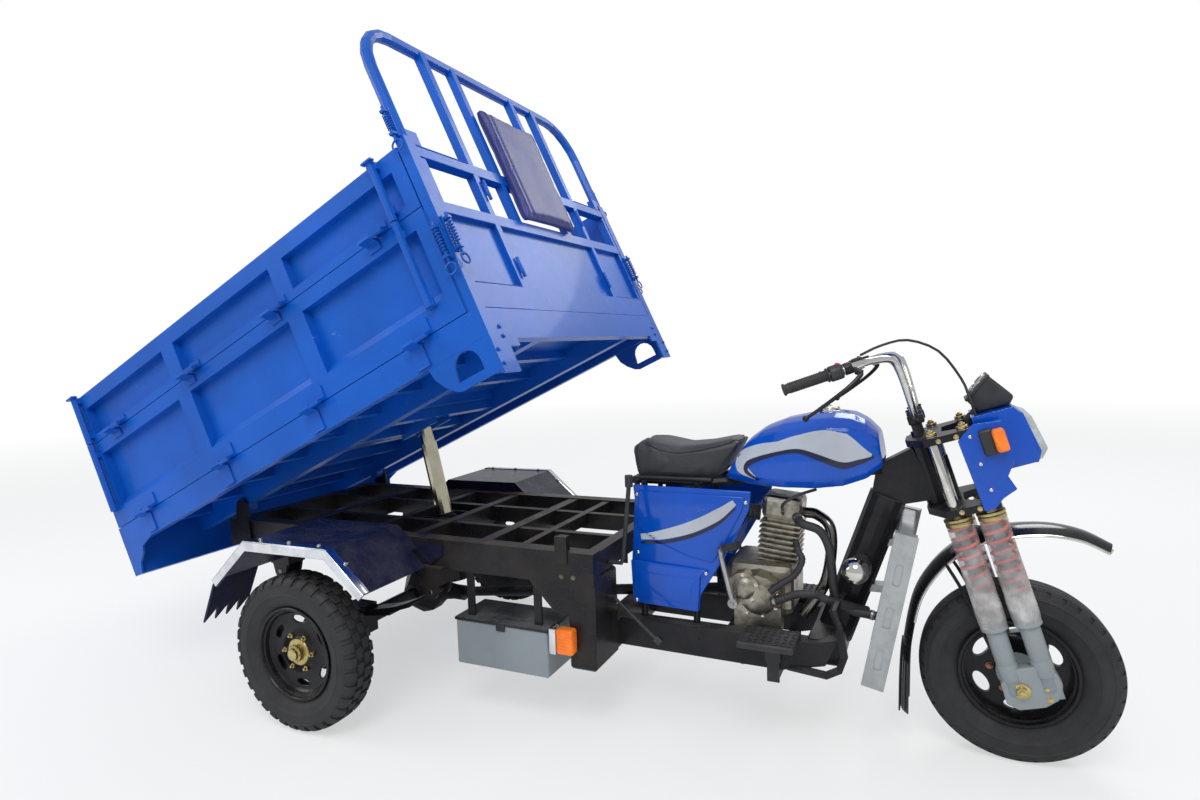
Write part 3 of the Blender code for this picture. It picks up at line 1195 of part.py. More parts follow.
def build_hoist(body):
    eye_x, eye_z = bed_to_vehicle(ROD_EYE_U, ROD_EYE_W)
    lean = math.atan2(eye_x - TRUNNION_X, eye_z - TRUNNION_Z)
    reach = math.hypot(eye_x - TRUNNION_X, eye_z - TRUNNION_Z)
    barrel = Group("hoist_barrel", body, (0, 0, 0), (TRUNNION_X, 0, TRUNNION_Z), lean)
    bore = STAGE_1_RADIUS + SLIDING
    solids = [upright(hollow_tube(BARREL_RADIUS, bore, -BARREL_BELOW, BARREL_ABOVE, 0.012))]
    solids.append(upright(hollow_tube(0.050, bore + 0.003, -0.025, 0.025)))
    for sign in (-1, 1):
        pin = sorted((sign * 0.045, sign * (TRUNNION_PLATE_Y - TOUCH)))
        solids.append(rod((0, pin[0], 0), (0, pin[1], 0), TRUNNION_RADIUS, 14))
    fuse("hoist_barrel", solids, BLACK_PAINT, barrel)
    first = Group("hoist_stage_1", barrel)
    low = STAGE_1_TOP - STAGE_1_LENGTH
    solids = [upright(hollow_tube(STAGE_1_RADIUS, STAGE_2_RADIUS + SLIDING, low, STAGE_1_TOP))]
    fuse("hoist_stage_1", solids, CHROME, first)
    second = Group("hoist_stage_2", first)
    top = reach - ROD_EYE_RADIUS * 0.4
    solids = [rod((0, 0, top - STAGE_2_LENGTH), (0, 0, top), STAGE_2_RADIUS, 14)]
    solids.append(rod((0, -ROD_EYE_HALF, reach), (0, ROD_EYE_HALF, reach), ROD_EYE_RADIUS, 14))
    fuse("hoist_stage_2", solids, CHROME, second)


def build_fork(steer):
    """The two clamps with the stem between them, and a leg of two tubes on each side."""
    top_s = HEAD_TOP + TOUCH
    low_s = HEAD_BOTTOM - TOUCH
    wide = LEG_Y + CLAMP_BEYOND_LEG
    clamps = []
    for low, high, front in ((top_s, top_s + CLAMP_THICKNESS, 0.165),
    (low_s - CLAMP_THICKNESS, low_s, 0.170)):
        right = [(-0.035, -0.050), (0.020, -wide), (front - 0.01, -wide), (front, -wide + 0.010),
                 (front, -LEG_Y + 0.028), (0.075, -0.060)]
        outline = right + [(f, -y) for f, y in reversed(right)]
        clamps.append(prism(outline, "XY", (low, high)))
    clamps.append(rod((0, 0, low_s - 0.002), (0, 0, top_s + 0.002), STEM_RADIUS, 12))
    nut_s = top_s + CLAMP_THICKNESS
    clamps.append(rod((0, 0, nut_s - 0.002), (0, 0, nut_s + 0.016), 0.017, 6))
    bores = []
    for y in (-RISER_Y, RISER_Y):
        clamps.append(rod((0.010, y, HEAD_TOP + 0.015), (0.010, y, RISER_TOP), RISER_RADIUS, 8))
    leg_top = top_s + CLAMP_THICKNESS + 0.006
    for f in (LEG_REAR_F, LEG_FRONT_F):
        for y in (-LEG_Y, LEG_Y):
            bores.append(rod((f, y, low_s - 0.1), (f, y, top_s + 0.1), STANCHION_RADIUS + 1.5 * TOUCH, 8))
    fuse("fork_clamps", clamps, BLACK_PAINT, steer, bores)
    leg_foot = AXLE_S - 0.010
    hub_end = FRONT_HUB_HALF + TOUCH
    for name, sign in (("fork_leg_right", -1), ("fork_leg_left", 1)):
        y = sign * LEG_Y
        leg = []
        for f in (LEG_REAR_F, LEG_FRONT_F):
            leg.append(rod((f, y, BOOT_BOTTOM + 0.06), (f, y, leg_top), STANCHION_RADIUS, 8))
            leg.append(rod((f, y, leg_foot), (f, y, BOOT_BOTTOM + SLIDER_INTO_BOOT), LEG_RADIUS, 12))
        leg.append(
            box(
                (LEG_REAR_F - 0.024, LEG_FRONT_F + 0.030), (y - 0.020, y + 0.020),
                (AXLE_S - 0.036, AXLE_S + 0.012)
            )
        )
        leg.append(rod((AXLE_F, y, AXLE_S), (AXLE_F, sign * hub_end, AXLE_S), 0.018, 12))
        leg.append(rod((AXLE_F, y + sign * 0.034, AXLE_S), (AXLE_F, y, AXLE_S), 0.013, 6))
        fuse(name, leg, GREY_PAINT, steer)


def build_spring_boots(steer):
    """The wrapped springs: one closed sleeve for the two legs of each side."""
    for name, sign in (("spring_boot_right", -1), ("spring_boot_left", 1)):
        y = sign * LEG_Y
        pieces = []
        cores = []
        slider_top = BOOT_BOTTOM + SLIDER_INTO_BOOT
        for f in (LEG_REAR_F, LEG_FRONT_F):
            pieces.append(rod((f, y, BOOT_BOTTOM), (f, y, BOOT_TOP), BOOT_RADIUS, 12))
            cores.append(
                rod((f, y, BOOT_BOTTOM - 0.02), (f, y, slider_top + 0.002), LEG_RADIUS + 1.5 * TOUCH, 12)
            )
            cores.append(
                rod((f, y, slider_top - 0.01), (f, y, BOOT_TOP + 0.02), STANCHION_RADIUS + 1.5 * TOUCH, 8)
            )
        pieces.append(
            box((LEG_REAR_F, LEG_FRONT_F), (y - 0.012, y + 0.012), (BOOT_BOTTOM + 0.01, BOOT_TOP - 0.01))
        )
        fuse(name, pieces, SPRING_RED, steer, cores)


def bar_route(sign):
    """The bar's middle line from its clamp to one end."""
    return [(0.018, 0.0, 0.176), (0.018, sign * 0.070, 0.176), (0.020, sign * 0.110, 0.215),
            (0.022, sign * 0.165, 0.330), (0.010, sign * 0.205, 0.378), (-0.035, sign * 0.255, 0.392),
            (-0.088, sign * 0.300, 0.393), (-0.280, sign * 0.372, 0.388)]


def lever_route(perch, along, sign):
    """A hand lever's middle line, from its perch down and outwards to its ball."""
    return [perch, perch + Vector((0.030, sign * 0.012, -0.028)),
            perch + along * 0.05 + Vector((0.035, sign * 0.02, -0.052)),
            perch + along * 0.12 + Vector((0.020, sign * 0.012, -0.082)),
            perch + along * 0.165 + Vector((0.006, sign * 0.004, -0.100))]


def build_handlebar(steer):
    right = smooth_route(bar_route(-1), 2)
    left = smooth_route(bar_route(1), 2)
    solids = [tube(list(reversed(right)) + left[1:], BAR_RADIUS, 1)]
    cuts = []
    for sign in (-1, 1):
        inner = Vector(bar_route(sign)[-2])
        outer = Vector(bar_route(sign)[-1])
        along = (outer - inner).normalized()
        solids.append(rod(inner + along * 0.075, outer + along * 0.006, GRIP_RADIUS, 8))
        solids.append(rod(inner + along * 0.030, inner + along * 0.078, 0.024, 10))
        perch = inner + along * 0.015
        solids.append(rod(perch - along * 0.012, perch + along * 0.012, 0.019, 8))
        lever = lever_route(perch, along, sign)
        solids.append(tube(lever, 0.0065, 1))
        ball = lever[-1]
        solids.append(rod(ball - along * 0.008, ball + along * 0.012, 0.010, 8))
        solids.append(box((-0.010, 0.042), sorted((sign * 0.040, sign * 0.074)), (0.158, 0.205), 0.006))
        riser = sign * RISER_Y
        cuts.append(rod((0.010, riser, 0.10), (0.010, riser, RISER_TOP + TOUCH), RISER_RADIUS + TOUCH, 8))
    fuse("handlebar", solids, BLACK_RUBBER, steer, cuts)


HOUSING_HALF = 0.118


def build_headlamp(steer):
    outline = [(0.165, -0.020), (0.208, -0.033), (0.292, -0.030), (0.306, 0.010), (0.296, 0.118),
    (0.282, 0.143),
               (0.165, 0.143)]
    ear_y = LEG_Y + LEG_RADIUS + 0.005
    ear = [(0.112, 0.092), (0.165, 0.130), (0.240, 0.120), (0.240, 0.000), (0.210, -0.040), (0.222, -0.082),
           (0.180, -0.100), (0.150, -0.126), (0.122, -0.126), (0.118, -0.044)]
    side = [prism(ear, "XZ", (-ear_y - 0.004, -ear_y))]
    bracket_y = (-ear_y - 0.002, -HOUSING_HALF + 0.004)
    side.append(box((0.200, 0.236), bracket_y, (0.010, 0.110)))
    side.append(box((0.168, 0.205), bracket_y, (-0.018, 0.020)))
    clamp_side = LEG_Y + CLAMP_BEYOND_LEG + TOUCH
    for s in (0.105, -0.116):
        side.append(rod((LEG_FRONT_F, -ear_y - 0.002, s), (LEG_FRONT_F, -clamp_side, s), 0.006, 10))
    solids = [prism(outline, "XZ", (-HOUSING_HALF, HOUSING_HALF))] + both_sides(side)
    clear = box(
        (0.0, 0.1658), (-clamp_side, clamp_side), (HEAD_TOP - 0.01, HEAD_TOP + CLAMP_THICKNESS + 0.021)
    )
    fuse("headlamp_housing", solids, BLUE_PAINT, steer, [clear])


def build_headlamp_lens(steer):
    lens = [
        (0.2925, -0.0305), (0.308, -0.026), (0.322, 0.000), (0.309, 0.112), (0.2965, 0.118), (0.3063, 0.010)
    ]
    lens = [(f + TOUCH * 1.5, s) for f, s in lens]
    across = HOUSING_HALF - 0.012
    fuse("headlamp_lens", [prism(lens, "XZ", (-across, across))], LENS, steer)


def build_instrument(steer):
    cluster = box((-0.052, 0.052), (-0.068, 0.068), (-0.048, 0.052), 0.014, 2)
    stalk = rod((0.150, 0, 0.119), (0.165, 0, 0.150), 0.012, 10)
    foot = rod((0.150, 0, 0.119), (0.212, 0, 0.175), 0.012, 10)
    pieces = [moved(cluster, (0.237, 0, 0.197), math.radians(40)), foot, stalk]
    low_cut = box((0.0, 0.40), (-0.2, 0.2), (0.0, 0.143 + TOUCH))
    fuse("instrument", pieces, BLACK_PLASTIC, steer, [low_cut])


def build_front_mudguard(steer):
    """A narrow arch over the wheel, with a front blade, a rear blade and a flap."""
    turn = math.radians(RAKE_DEG)
    upper = []
    for dx, dz in GUARD_ARCH:
        f = AXLE_F + dx * math.cos(turn) + dz * math.sin(turn)
        upper.append((f, AXLE_S + dz * math.cos(turn) - dx * math.sin(turn)))
    blade = prism(offset_line(upper, 0.007), "XZ", (-GUARD_HALF, GUARD_HALF))
    lip = prism(offset_line(upper[2:], 0.022), "XZ", (-GUARD_HALF - 0.004, -GUARD_HALF + 0.004))
    stay_f = AXLE_F + 0.02
    stay_top = HEAD_BOTTOM - CLAMP_THICKNESS - 2 * TOUCH
    stay = rod((stay_f, 0.0, stay_top), (stay_f, 0.0, AXLE_S + 0.441), 0.016, 12)
    fuse("front_mudguard", [blade, lip, mirrored(lip), stay], DARK_STEEL, steer)


def build_cable(steer):
    start = (-0.060, -0.275, 0.419)
    route = [start, (0.000, -0.235, 0.428), (0.070, -0.150, 0.420), (0.140, -0.085, 0.360),
    (0.175, -0.060, 0.260),
             (0.180, -0.090, 0.200), (0.180, -0.095, 0.143 + 2 * TOUCH)]
    fuse("throttle_cable", [tube(smooth_route(route, 3), 0.004, 2)], BLACK_RUBBER, steer)


clear_scene()
MODEL = new_collection("dump_motor_tricycle")
CUTTERS = new_collection("cutters")
BLUE_PAINT = new_material("blue_paint", (0.005, 0.10, 0.52), 0.32)
NAVY_PAINT = new_material("navy_paint", (0.010, 0.020, 0.13), 0.45)
BLACK_PAINT = new_material("black_paint", (0.012, 0.012, 0.016), 0.42)
GUARD_PAINT = new_material("guard_paint", (0.010, 0.010, 0.030), 0.40)
GREY_PAINT = new_material("grey_paint", (0.27, 0.31, 0.33), 0.45, 0.2)
ORANGE = new_material("orange_lens", (0.85, 0.20, 0.01), 0.20)
LENS = new_material("clear_lens", (0.45, 0.47, 0.42), 0.12)
CHROME = new_material("chrome", (0.55, 0.52, 0.40), 0.18, 1.0)
DARK_STEEL = new_material("dark_steel", (0.06, 0.06, 0.06), 0.35, 0.7)
ENGINE_METAL = new_material("engine_metal", (0.33, 0.31, 0.25), 0.45, 0.7)
RADIATOR_METAL = new_material("radiator_metal", (0.35, 0.37, 0.37), 0.45, 0.5)
BLACK_RIM = new_material("black_rim", (0.010, 0.010, 0.013), 0.35)
TYRE_RUBBER = new_material("tyre_rubber", (0.018, 0.018, 0.020), 0.80)
BLACK_RUBBER = new_material("black_rubber", (0.025, 0.025, 0.027), 0.65)
BLACK_PLASTIC = new_material("black_plastic", (0.030, 0.030, 0.033), 0.50)
BLACK_VINYL = new_material("black_vinyl", (0.050, 0.050, 0.055), 0.50)
NAVY_VINYL = new_material("navy_vinyl", (0.060, 0.085, 0.30), 0.40)
SPRING_RED = new_material("spring_red", (0.45, 0.17, 0.15), 0.60)

vehicle = Group("vehicle", None, (0, 0, 0), (-ORIGIN_X, 0, 0))
build_chassis(vehicle)
build_rear_axle(vehicle)
build_mudguard(vehicle, "mudguard_right", -1)
build_mudguard(vehicle, "mudguard_left", 1)
build_chassis_fittings(vehicle)
build_front_frame(vehicle)
build_engine(vehicle)
build_exhaust(vehicle)
build_drive_shaft(vehicle)
build_radiator(vehicle)
build_seat(vehicle)
build_tank(vehicle)
build_side_cover(vehicle, "side_cover_right", -1)
build_side_cover(vehicle, "side_cover_left", 1)
build_controls(vehicle)
for side_name, side_sign in (("right", -1), ("left", 1)):
    hub = Group("rear_wheel_" + side_name, vehicle, (0, 0, 0), (0, side_sign * TRACK / 2, TYRE_RADIUS))
    build_rear_wheel(side_name, hub, side_sign)
bed_group = Group("bed", vehicle, (PIVOT_U, 0, PIVOT_W), (PIVOT_X, 0, PIVOT_Z), -bed_angle())
build_bed_frame(bed_group)
build_headboard(bed_group)
build_side(bed_group, "right", -1)
build_side(bed_group, "left", 1)
build_tailgate(bed_group)
build_hoist(vehicle)
steering = Group("steering", vehicle, (0, 0, 0), (STEER_X, 0, STEER_Z), -math.radians(RAKE_DEG))
build_fork(steering)
build_spring_boots(steering)
build_handlebar(steering)
build_headlamp(steering)
build_headlamp_lens(steering)
build_instrument(steering)
build_front_mudguard(steering)
build_cable(steering)
front_hub = Group("front_wheel", steering, (0, 0, 0), (AXLE_F, 0, AXLE_S))
build_front_wheel(front_hub)
bpy.context.view_layer.update()
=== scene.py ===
import json
import math

import bpy
from mathutils import Matrix, Vector
from mathutils.kdtree import KDTree


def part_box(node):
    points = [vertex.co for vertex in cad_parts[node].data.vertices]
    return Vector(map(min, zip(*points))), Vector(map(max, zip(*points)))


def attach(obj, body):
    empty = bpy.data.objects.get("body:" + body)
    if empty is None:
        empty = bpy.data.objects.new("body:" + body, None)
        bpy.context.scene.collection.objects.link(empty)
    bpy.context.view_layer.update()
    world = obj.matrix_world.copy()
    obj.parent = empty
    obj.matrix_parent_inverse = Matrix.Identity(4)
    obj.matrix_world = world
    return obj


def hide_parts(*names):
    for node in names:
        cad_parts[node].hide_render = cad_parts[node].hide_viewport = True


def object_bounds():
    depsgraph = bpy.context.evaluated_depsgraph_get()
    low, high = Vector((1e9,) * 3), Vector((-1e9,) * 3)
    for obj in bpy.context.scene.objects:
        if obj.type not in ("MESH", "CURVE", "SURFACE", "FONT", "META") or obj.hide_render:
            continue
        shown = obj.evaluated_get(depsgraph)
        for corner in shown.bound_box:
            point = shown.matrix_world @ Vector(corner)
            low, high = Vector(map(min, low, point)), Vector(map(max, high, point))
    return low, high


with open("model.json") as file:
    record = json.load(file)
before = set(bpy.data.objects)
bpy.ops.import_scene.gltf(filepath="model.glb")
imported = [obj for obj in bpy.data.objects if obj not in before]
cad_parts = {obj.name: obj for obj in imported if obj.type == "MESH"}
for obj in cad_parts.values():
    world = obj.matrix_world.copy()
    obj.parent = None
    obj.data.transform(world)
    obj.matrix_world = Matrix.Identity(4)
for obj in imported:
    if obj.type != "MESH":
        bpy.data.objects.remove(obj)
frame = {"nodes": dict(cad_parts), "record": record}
cad_low, cad_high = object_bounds()
bpy.context.scene.view_settings.view_transform = "Standard"

# Places of the part's own axes

BED_TILT = math.radians(24.375)
RAKE = math.radians(17)
WHEEL_RADIUS = 0.2825
TRACK_HALF = 0.7
WHEEL_LOW, WHEEL_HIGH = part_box("tyre_rear_right")
AXLE_X = (WHEEL_LOW.x + WHEEL_HIGH.x) / 2
WORLD = Matrix.Identity(4)
MIRROR = Matrix.Scale(-1, 4, (0, 1, 0))
VEHICLE = Matrix.Translation((AXLE_X, 0, 0))
BED = Matrix.Translation((AXLE_X - 0.873, 0, 0.457)) @ Matrix.Rotation(-BED_TILT, 4, "Y")
STEERING = Matrix.Translation((AXLE_X + 2.0386, 0, 0.9)) @ Matrix.Rotation(-RAKE, 4, "Y")
AXES_OF = {"chassis": VEHICLE, "steering": STEERING, "bed": BED, "side_upper_right": BED, "side_upper_left": BED}
FRONT_AXLE_F, FRONT_AXLE_S = 0.0628, -0.6649
FRONT_HUB = STEERING @ Vector((FRONT_AXLE_F, 0, FRONT_AXLE_S))

# Camera, lamps and floor

CAMERA_SPOT = (2.0679, -2.5529, 1.3454)
CAMERA_TURN = [math.radians(angle) for angle in (24.9427, 4.489, -1.9149)]
SENSOR_WIDTH = 36
FOCAL_PIXELS, PHOTO_WIDTH = 730.678, 1200
FLOOR_SIZE = 60
FLOOR_TONE = (0.93, 0.93, 0.93)
FLOOR_FADE = {"From Min": 3, "From Max": 14, "To Min": 0.55, "To Max": 1}
LAMPS = (("key_lamp", (1.5, -4.5, 5), 3.5, 190), ("fill_lamp", (-4.5, -2.5, 2.5), 3, 60),
         ("back_lamp", (2, 5, 4), 3, 100))


def aim_camera():
    """The photograph's view, as fitted to the wheels and the rails."""
    yaw, pitch, roll = CAMERA_TURN
    ahead = Vector((-math.sin(yaw) * math.cos(pitch), math.cos(yaw) * math.cos(pitch), -math.sin(pitch)))
    side = Vector((math.cos(yaw), math.sin(yaw), 0))
    above = side.cross(ahead)
    right = side * math.cos(roll) + above * math.sin(roll)
    up = above * math.cos(roll) - side * math.sin(roll)
    data = bpy.data.cameras.new("camera")
    data.sensor_width = SENSOR_WIDTH
    data.lens = FOCAL_PIXELS * SENSOR_WIDTH / PHOTO_WIDTH
    camera = bpy.data.objects.new("camera", data)
    bpy.context.scene.collection.objects.link(camera)
    turn = Matrix((right, up, -ahead)).transposed().to_4x4()
    camera.matrix_world = VEHICLE @ Matrix.Translation(CAMERA_SPOT) @ turn
    bpy.context.scene.camera = camera


def hang_lamps():
    """Soft round lamps round the vehicle's middle, all turned towards it."""
    middle = (cad_low + cad_high) / 2
    for name, offset, size, power in LAMPS:
        data = bpy.data.lights.new(name, "AREA")
        data.shape = "DISK"
        data.size = size
        data.energy = power
        lamp = bpy.data.objects.new(name, data)
        bpy.context.scene.collection.objects.link(lamp)
        lamp.location = middle + Vector(offset)
        lamp.rotation_euler = (-Vector(offset)).to_track_quat("-Z", "Y").to_euler()


def pale_world():
    """A pale sky that the camera sees as plain white."""
    world = bpy.data.worlds.new("pale_world")
    world.use_nodes = True
    bpy.context.scene.world = world
    tree = world.node_tree
    tree.nodes.clear()
    shade = add_node(tree, "ShaderNodeBackground", {"Color": (0.92, 0.95, 1), "Strength": 0.6})
    plain = add_node(tree, "ShaderNodeBackground", {"Color": (1, 1, 1), "Strength": 1})
    seen = add_node(tree, "ShaderNodeLightPath").outputs["Is Camera Ray"]
    mix = add_node(tree, "ShaderNodeMixShader", {0: seen, 1: shade.outputs[0], 2: plain.outputs[0]})
    add_node(tree, "ShaderNodeOutputWorld", {0: mix.outputs[0]})


def lay_floor():
    """A pale floor that fades to white with distance."""
    rest()
    bpy.ops.mesh.primitive_plane_add(size=FLOOR_SIZE)
    floor = bpy.context.active_object
    floor.name = "floor"
    material, tree, skin = new_finish("pale_floor", rough=0.9, spec=0.1)
    wire(tree, FLOOR_TONE, skin["Base Color"])
    distance = add_node(tree, "ShaderNodeVectorMath", {0: place_of(tree)}, operation="LENGTH").outputs["Value"]
    fade = add_node(tree, "ShaderNodeMapRange", {"Value": distance, **FLOOR_FADE}).outputs["Result"]
    seen = add_node(tree, "ShaderNodeLightPath").outputs["Is Camera Ray"]
    glow = add_node(tree, "ShaderNodeEmission").outputs[0]
    mix = add_node(tree, "ShaderNodeMixShader",
                   {0: times(tree, seen, fade), 1: tree.nodes["Principled BSDF"].outputs[0], 2: glow})
    wire(tree, mix.outputs[0], tree.nodes["Material Output"].inputs["Surface"])
    floor.data.materials.append(material)


# Nodes

def wire(tree, source, target):
    """Feed a socket from a number, a tuple or another socket."""
    if isinstance(source, (int, float)):
        target.default_value = source
    elif isinstance(source, tuple):
        target.default_value = source if len(source) != 3 or target.type == "VECTOR" else (*source, 1)
    else:
        tree.links.new(source, target)


def add_node(tree, kind, inputs=None, **settings):
    """A shader node with its settings, and its inputs fed by label."""
    node = tree.nodes.new(kind)
    for label, value in settings.items():
        setattr(node, label, value)
    for label, value in (inputs or {}).items():
        wire(tree, value, node.inputs[label])
    return node


def calc(tree, operation, first, second, clamp=False):
    """One step of arithmetic."""
    return add_node(tree, "ShaderNodeMath", {0: first, 1: second}, operation=operation, use_clamp=clamp).outputs[0]


def plus(tree, first, second, clamp=False):
    return calc(tree, "ADD", first, second, clamp)


def times(tree, first, second, clamp=False):
    return calc(tree, "MULTIPLY", first, second, clamp)


def blend(tree, mask, low, high):
    """One colour turning into another where the mask is 1."""
    return add_node(tree, "ShaderNodeMix", {"Factor": mask, 6: low, 7: high}, data_type="RGBA").outputs[2]


def ramp(tree, value, low, high):
    """A smooth step from 0 at low to 1 at high."""
    return add_node(tree, "ShaderNodeMapRange", {"Value": value, "From Min": low, "From Max": high},
                    interpolation_type="SMOOTHSTEP").outputs["Result"]


def place_of(tree, scale=(1, 1, 1), turn=(0, 0, 0)):
    """The place on the piece, scaled and turned."""
    spot = add_node(tree, "ShaderNodeTexCoord").outputs["Object"]
    return add_node(tree, "ShaderNodeMapping", {"Vector": spot, "Scale": scale, "Rotation": turn}).outputs[0]


def noise(tree, place, scale, detail=4, rough=0.55):
    """Soft noise between 0 and 1."""
    return add_node(tree, "ShaderNodeTexNoise", {"Vector": place, "Scale": scale, "Detail": detail,
                                                 "Roughness": rough}).outputs["Fac"]


def height_of(tree, vector):
    """How far up a place is."""
    return add_node(tree, "ShaderNodeSeparateXYZ", {0: vector}).outputs["Z"]


def bump(tree, height, strength, distance):
    """A normal that follows a height."""
    return add_node(tree, "ShaderNodeBump", {"Height": height, "Strength": strength,
                                             "Distance": distance}).outputs[0]


# Shader groups

def shader_group(name, inputs, outputs):
    """A node group with float inputs and their defaults, and float outputs apart from a Normal."""
    tree = bpy.data.node_groups.new(name, "ShaderNodeTree")
    for label, value in inputs.items():
        tree.interface.new_socket(label, in_out="INPUT", socket_type="NodeSocketFloat").default_value = value
    for label in outputs:
        kind = "NodeSocketVector" if label == "Normal" else "NodeSocketFloat"
        tree.interface.new_socket(label, in_out="OUTPUT", socket_type=kind)
    start = tree.nodes.new("NodeGroupInput")
    end = tree.nodes.new("NodeGroupOutput")
    return tree, start.outputs, end.inputs


def make_dust_group():
    """Dust in clouds and specks, thickest on what faces up."""
    tree, given, made = shader_group("settled_dust", {"Amount": 0.3, "Scale": 9}, ["Mask"])
    place = place_of(tree)
    up = ramp(tree, height_of(tree, add_node(tree, "ShaderNodeNewGeometry").outputs["Normal"]), 0.2, 0.95)
    cloud = ramp(tree, noise(tree, place, given["Scale"], 6, 0.65), 0.34, 0.68)
    specks = ramp(tree, noise(tree, place, 160, 2, 0.6), 0.52, 0.66)
    patch = plus(tree, times(tree, cloud, 0.65), times(tree, specks, 0.35))
    lifted = plus(tree, times(tree, up, 0.85), 0.15)
    wire(tree, times(tree, times(tree, patch, lifted), given["Amount"], True), made["Mask"])
    return tree


def make_scratch_group():
    """Fine scratches running two ways, in patches."""
    tree, given, made = shader_group("fine_scratches", {"Scale": 1, "Amount": 0.5}, ["Mask"])
    lines = []
    for stretch, turn in (((90, 6, 60), 0.4), ((7, 80, 9), 1.1)):
        place = place_of(tree, stretch, (turn, turn * 0.6, turn * 1.7))
        lines.append(ramp(tree, noise(tree, place, given["Scale"], 5, 0.7), 0.655, 0.7))
    patches = ramp(tree, noise(tree, place_of(tree), 5, 3), 0.48, 0.66)
    masked = times(tree, calc(tree, "MAXIMUM", *lines), patches)
    wire(tree, times(tree, masked, given["Amount"], True), made["Mask"])
    return tree


def make_grain_group():
    """A fine even grain."""
    tree, given, made = shader_group("surface_grain", {"Scale": 300, "Strength": 0.2, "Depth": 0.0004}, ["Normal"])
    value = noise(tree, place_of(tree), given["Scale"], 3, 0.6)
    wire(tree, bump(tree, value, given["Strength"], given["Depth"]), made["Normal"])
    return tree


def make_leather_group():
    """Leather's cells with soft folds between them, and a mask that is 0 in the valleys between cells, used for
    painted shade.
    """
    tree, given, made = shader_group("leather_grain", {"Scale": 420, "Strength": 0.35}, ["Normal", "Mask"])
    cells = add_node(tree, "ShaderNodeTexVoronoi", {"Vector": place_of(tree), "Scale": given["Scale"]},
                     feature="DISTANCE_TO_EDGE")
    valley = ramp(tree, cells.outputs["Distance"], 0, 0.22)
    folds = noise(tree, place_of(tree), 26, 4, 0.6)
    wire(tree, bump(tree, plus(tree, valley, times(tree, folds, 1.6)), given["Strength"], 0.0006), made["Normal"])
    wire(tree, valley, made["Mask"])
    return tree


def make_cast_group():
    """Pitted metal with dark patches: dirt, and on the engine metal painted shade as well."""
    tree, given, made = shader_group("cast_texture", {"Scale": 260, "Strength": 0.4}, ["Normal", "Dirt and shade"])
    place = place_of(tree)
    pits = noise(tree, place, given["Scale"], 4, 0.7)
    wire(tree, bump(tree, pits, given["Strength"], 0.0008), made["Normal"])
    wire(tree, ramp(tree, noise(tree, place, 22, 6, 0.65), 0.4, 0.7), made["Dirt and shade"])
    return tree


DUST, SCRATCHES, GRAIN = make_dust_group(), make_scratch_group(), make_grain_group()
LEATHER, CAST = make_leather_group(), make_cast_group()


def use(tree, group, **values):
    """The outputs of a group set to these values."""
    return add_node(tree, "ShaderNodeGroup", values, node_tree=group).outputs


# Finishes

SKIN_SOCKETS = {"coat": "Coat Weight", "coat_rough": "Coat Roughness", "metal": "Metallic", "rough": "Roughness",
                "sheen": "Sheen Weight", "spec": "Specular IOR Level"}
ROAD_DUST = (0.34, 0.31, 0.27)
PAINT_SCRATCH = (0.3, 0.42, 0.75)
RUBBER_DUST = (0.2, 0.185, 0.165)
VINYL_DUST = (0.22, 0.21, 0.2)
NET_ANGLE = 0.7854


def new_finish(name, **fixed):
    """A material with its fixed values, its tree and its skin's inputs."""
    material = bpy.data.materials.new(name)
    material.use_nodes = True
    skin = material.node_tree.nodes["Principled BSDF"]
    for label, value in fixed.items():
        skin.inputs[SKIN_SOCKETS[label]].default_value = value
    return material, material.node_tree, skin.inputs


def shaded(colour, factor, lift=0):
    """A colour made darker or lighter."""
    return tuple(channel * factor + lift for channel in colour)


def paint(name, colour, rough, dust=0.25, scratch=0.5, bare=PAINT_SCRATCH, coat=0, peel=0.1, dust_colour=ROAD_DUST):
    """Sprayed paint: slight colour drift, orange peel, fine scratches and settled dust."""
    material, tree, skin = new_finish(name, coat=coat, coat_rough=0.06, spec=0.28)
    drift = ramp(tree, noise(tree, place_of(tree), 3, 3), 0.3, 0.7)
    tone = blend(tree, drift, shaded(colour, 0.86), shaded(colour, 1.08))
    tone = blend(tree, use(tree, SCRATCHES, Scale=1, Amount=scratch)["Mask"], tone, bare)
    film = use(tree, DUST, Amount=dust, Scale=9)["Mask"]
    wire(tree, blend(tree, film, tone, dust_colour), skin["Base Color"])
    haze = times(tree, noise(tree, place_of(tree), 34), 0.14)
    wire(tree, plus(tree, plus(tree, haze, rough - 0.07), times(tree, film, 0.4), True), skin["Roughness"])
    wire(tree, use(tree, GRAIN, Scale=240, Strength=peel, Depth=0.0005)["Normal"], skin["Normal"])
    return material


def metal(name, colour, rough, dark, dirt_and_shade=0.4, scale=260, strength=0.2, metallic=1):
    """Bare or plated metal with a cast or brushed skin and dark patches: dirt, and on the engine metal painted shade
    as well.
    """
    material, tree, skin = new_finish(name, metal=metallic)
    cast = use(tree, CAST, Scale=scale, Strength=strength)
    # dark patches: dirt, and where a finish makes them heavy, as on the engine metal, painted shade
    dirt_and_shade_mask = times(tree, cast["Dirt and shade"], dirt_and_shade)
    wire(tree, blend(tree, dirt_and_shade_mask, colour, dark), skin["Base Color"])
    wire(tree, plus(tree, times(tree, dirt_and_shade_mask, 0.3), rough, True), skin["Roughness"])
    wire(tree, cast["Normal"], skin["Normal"])
    return material


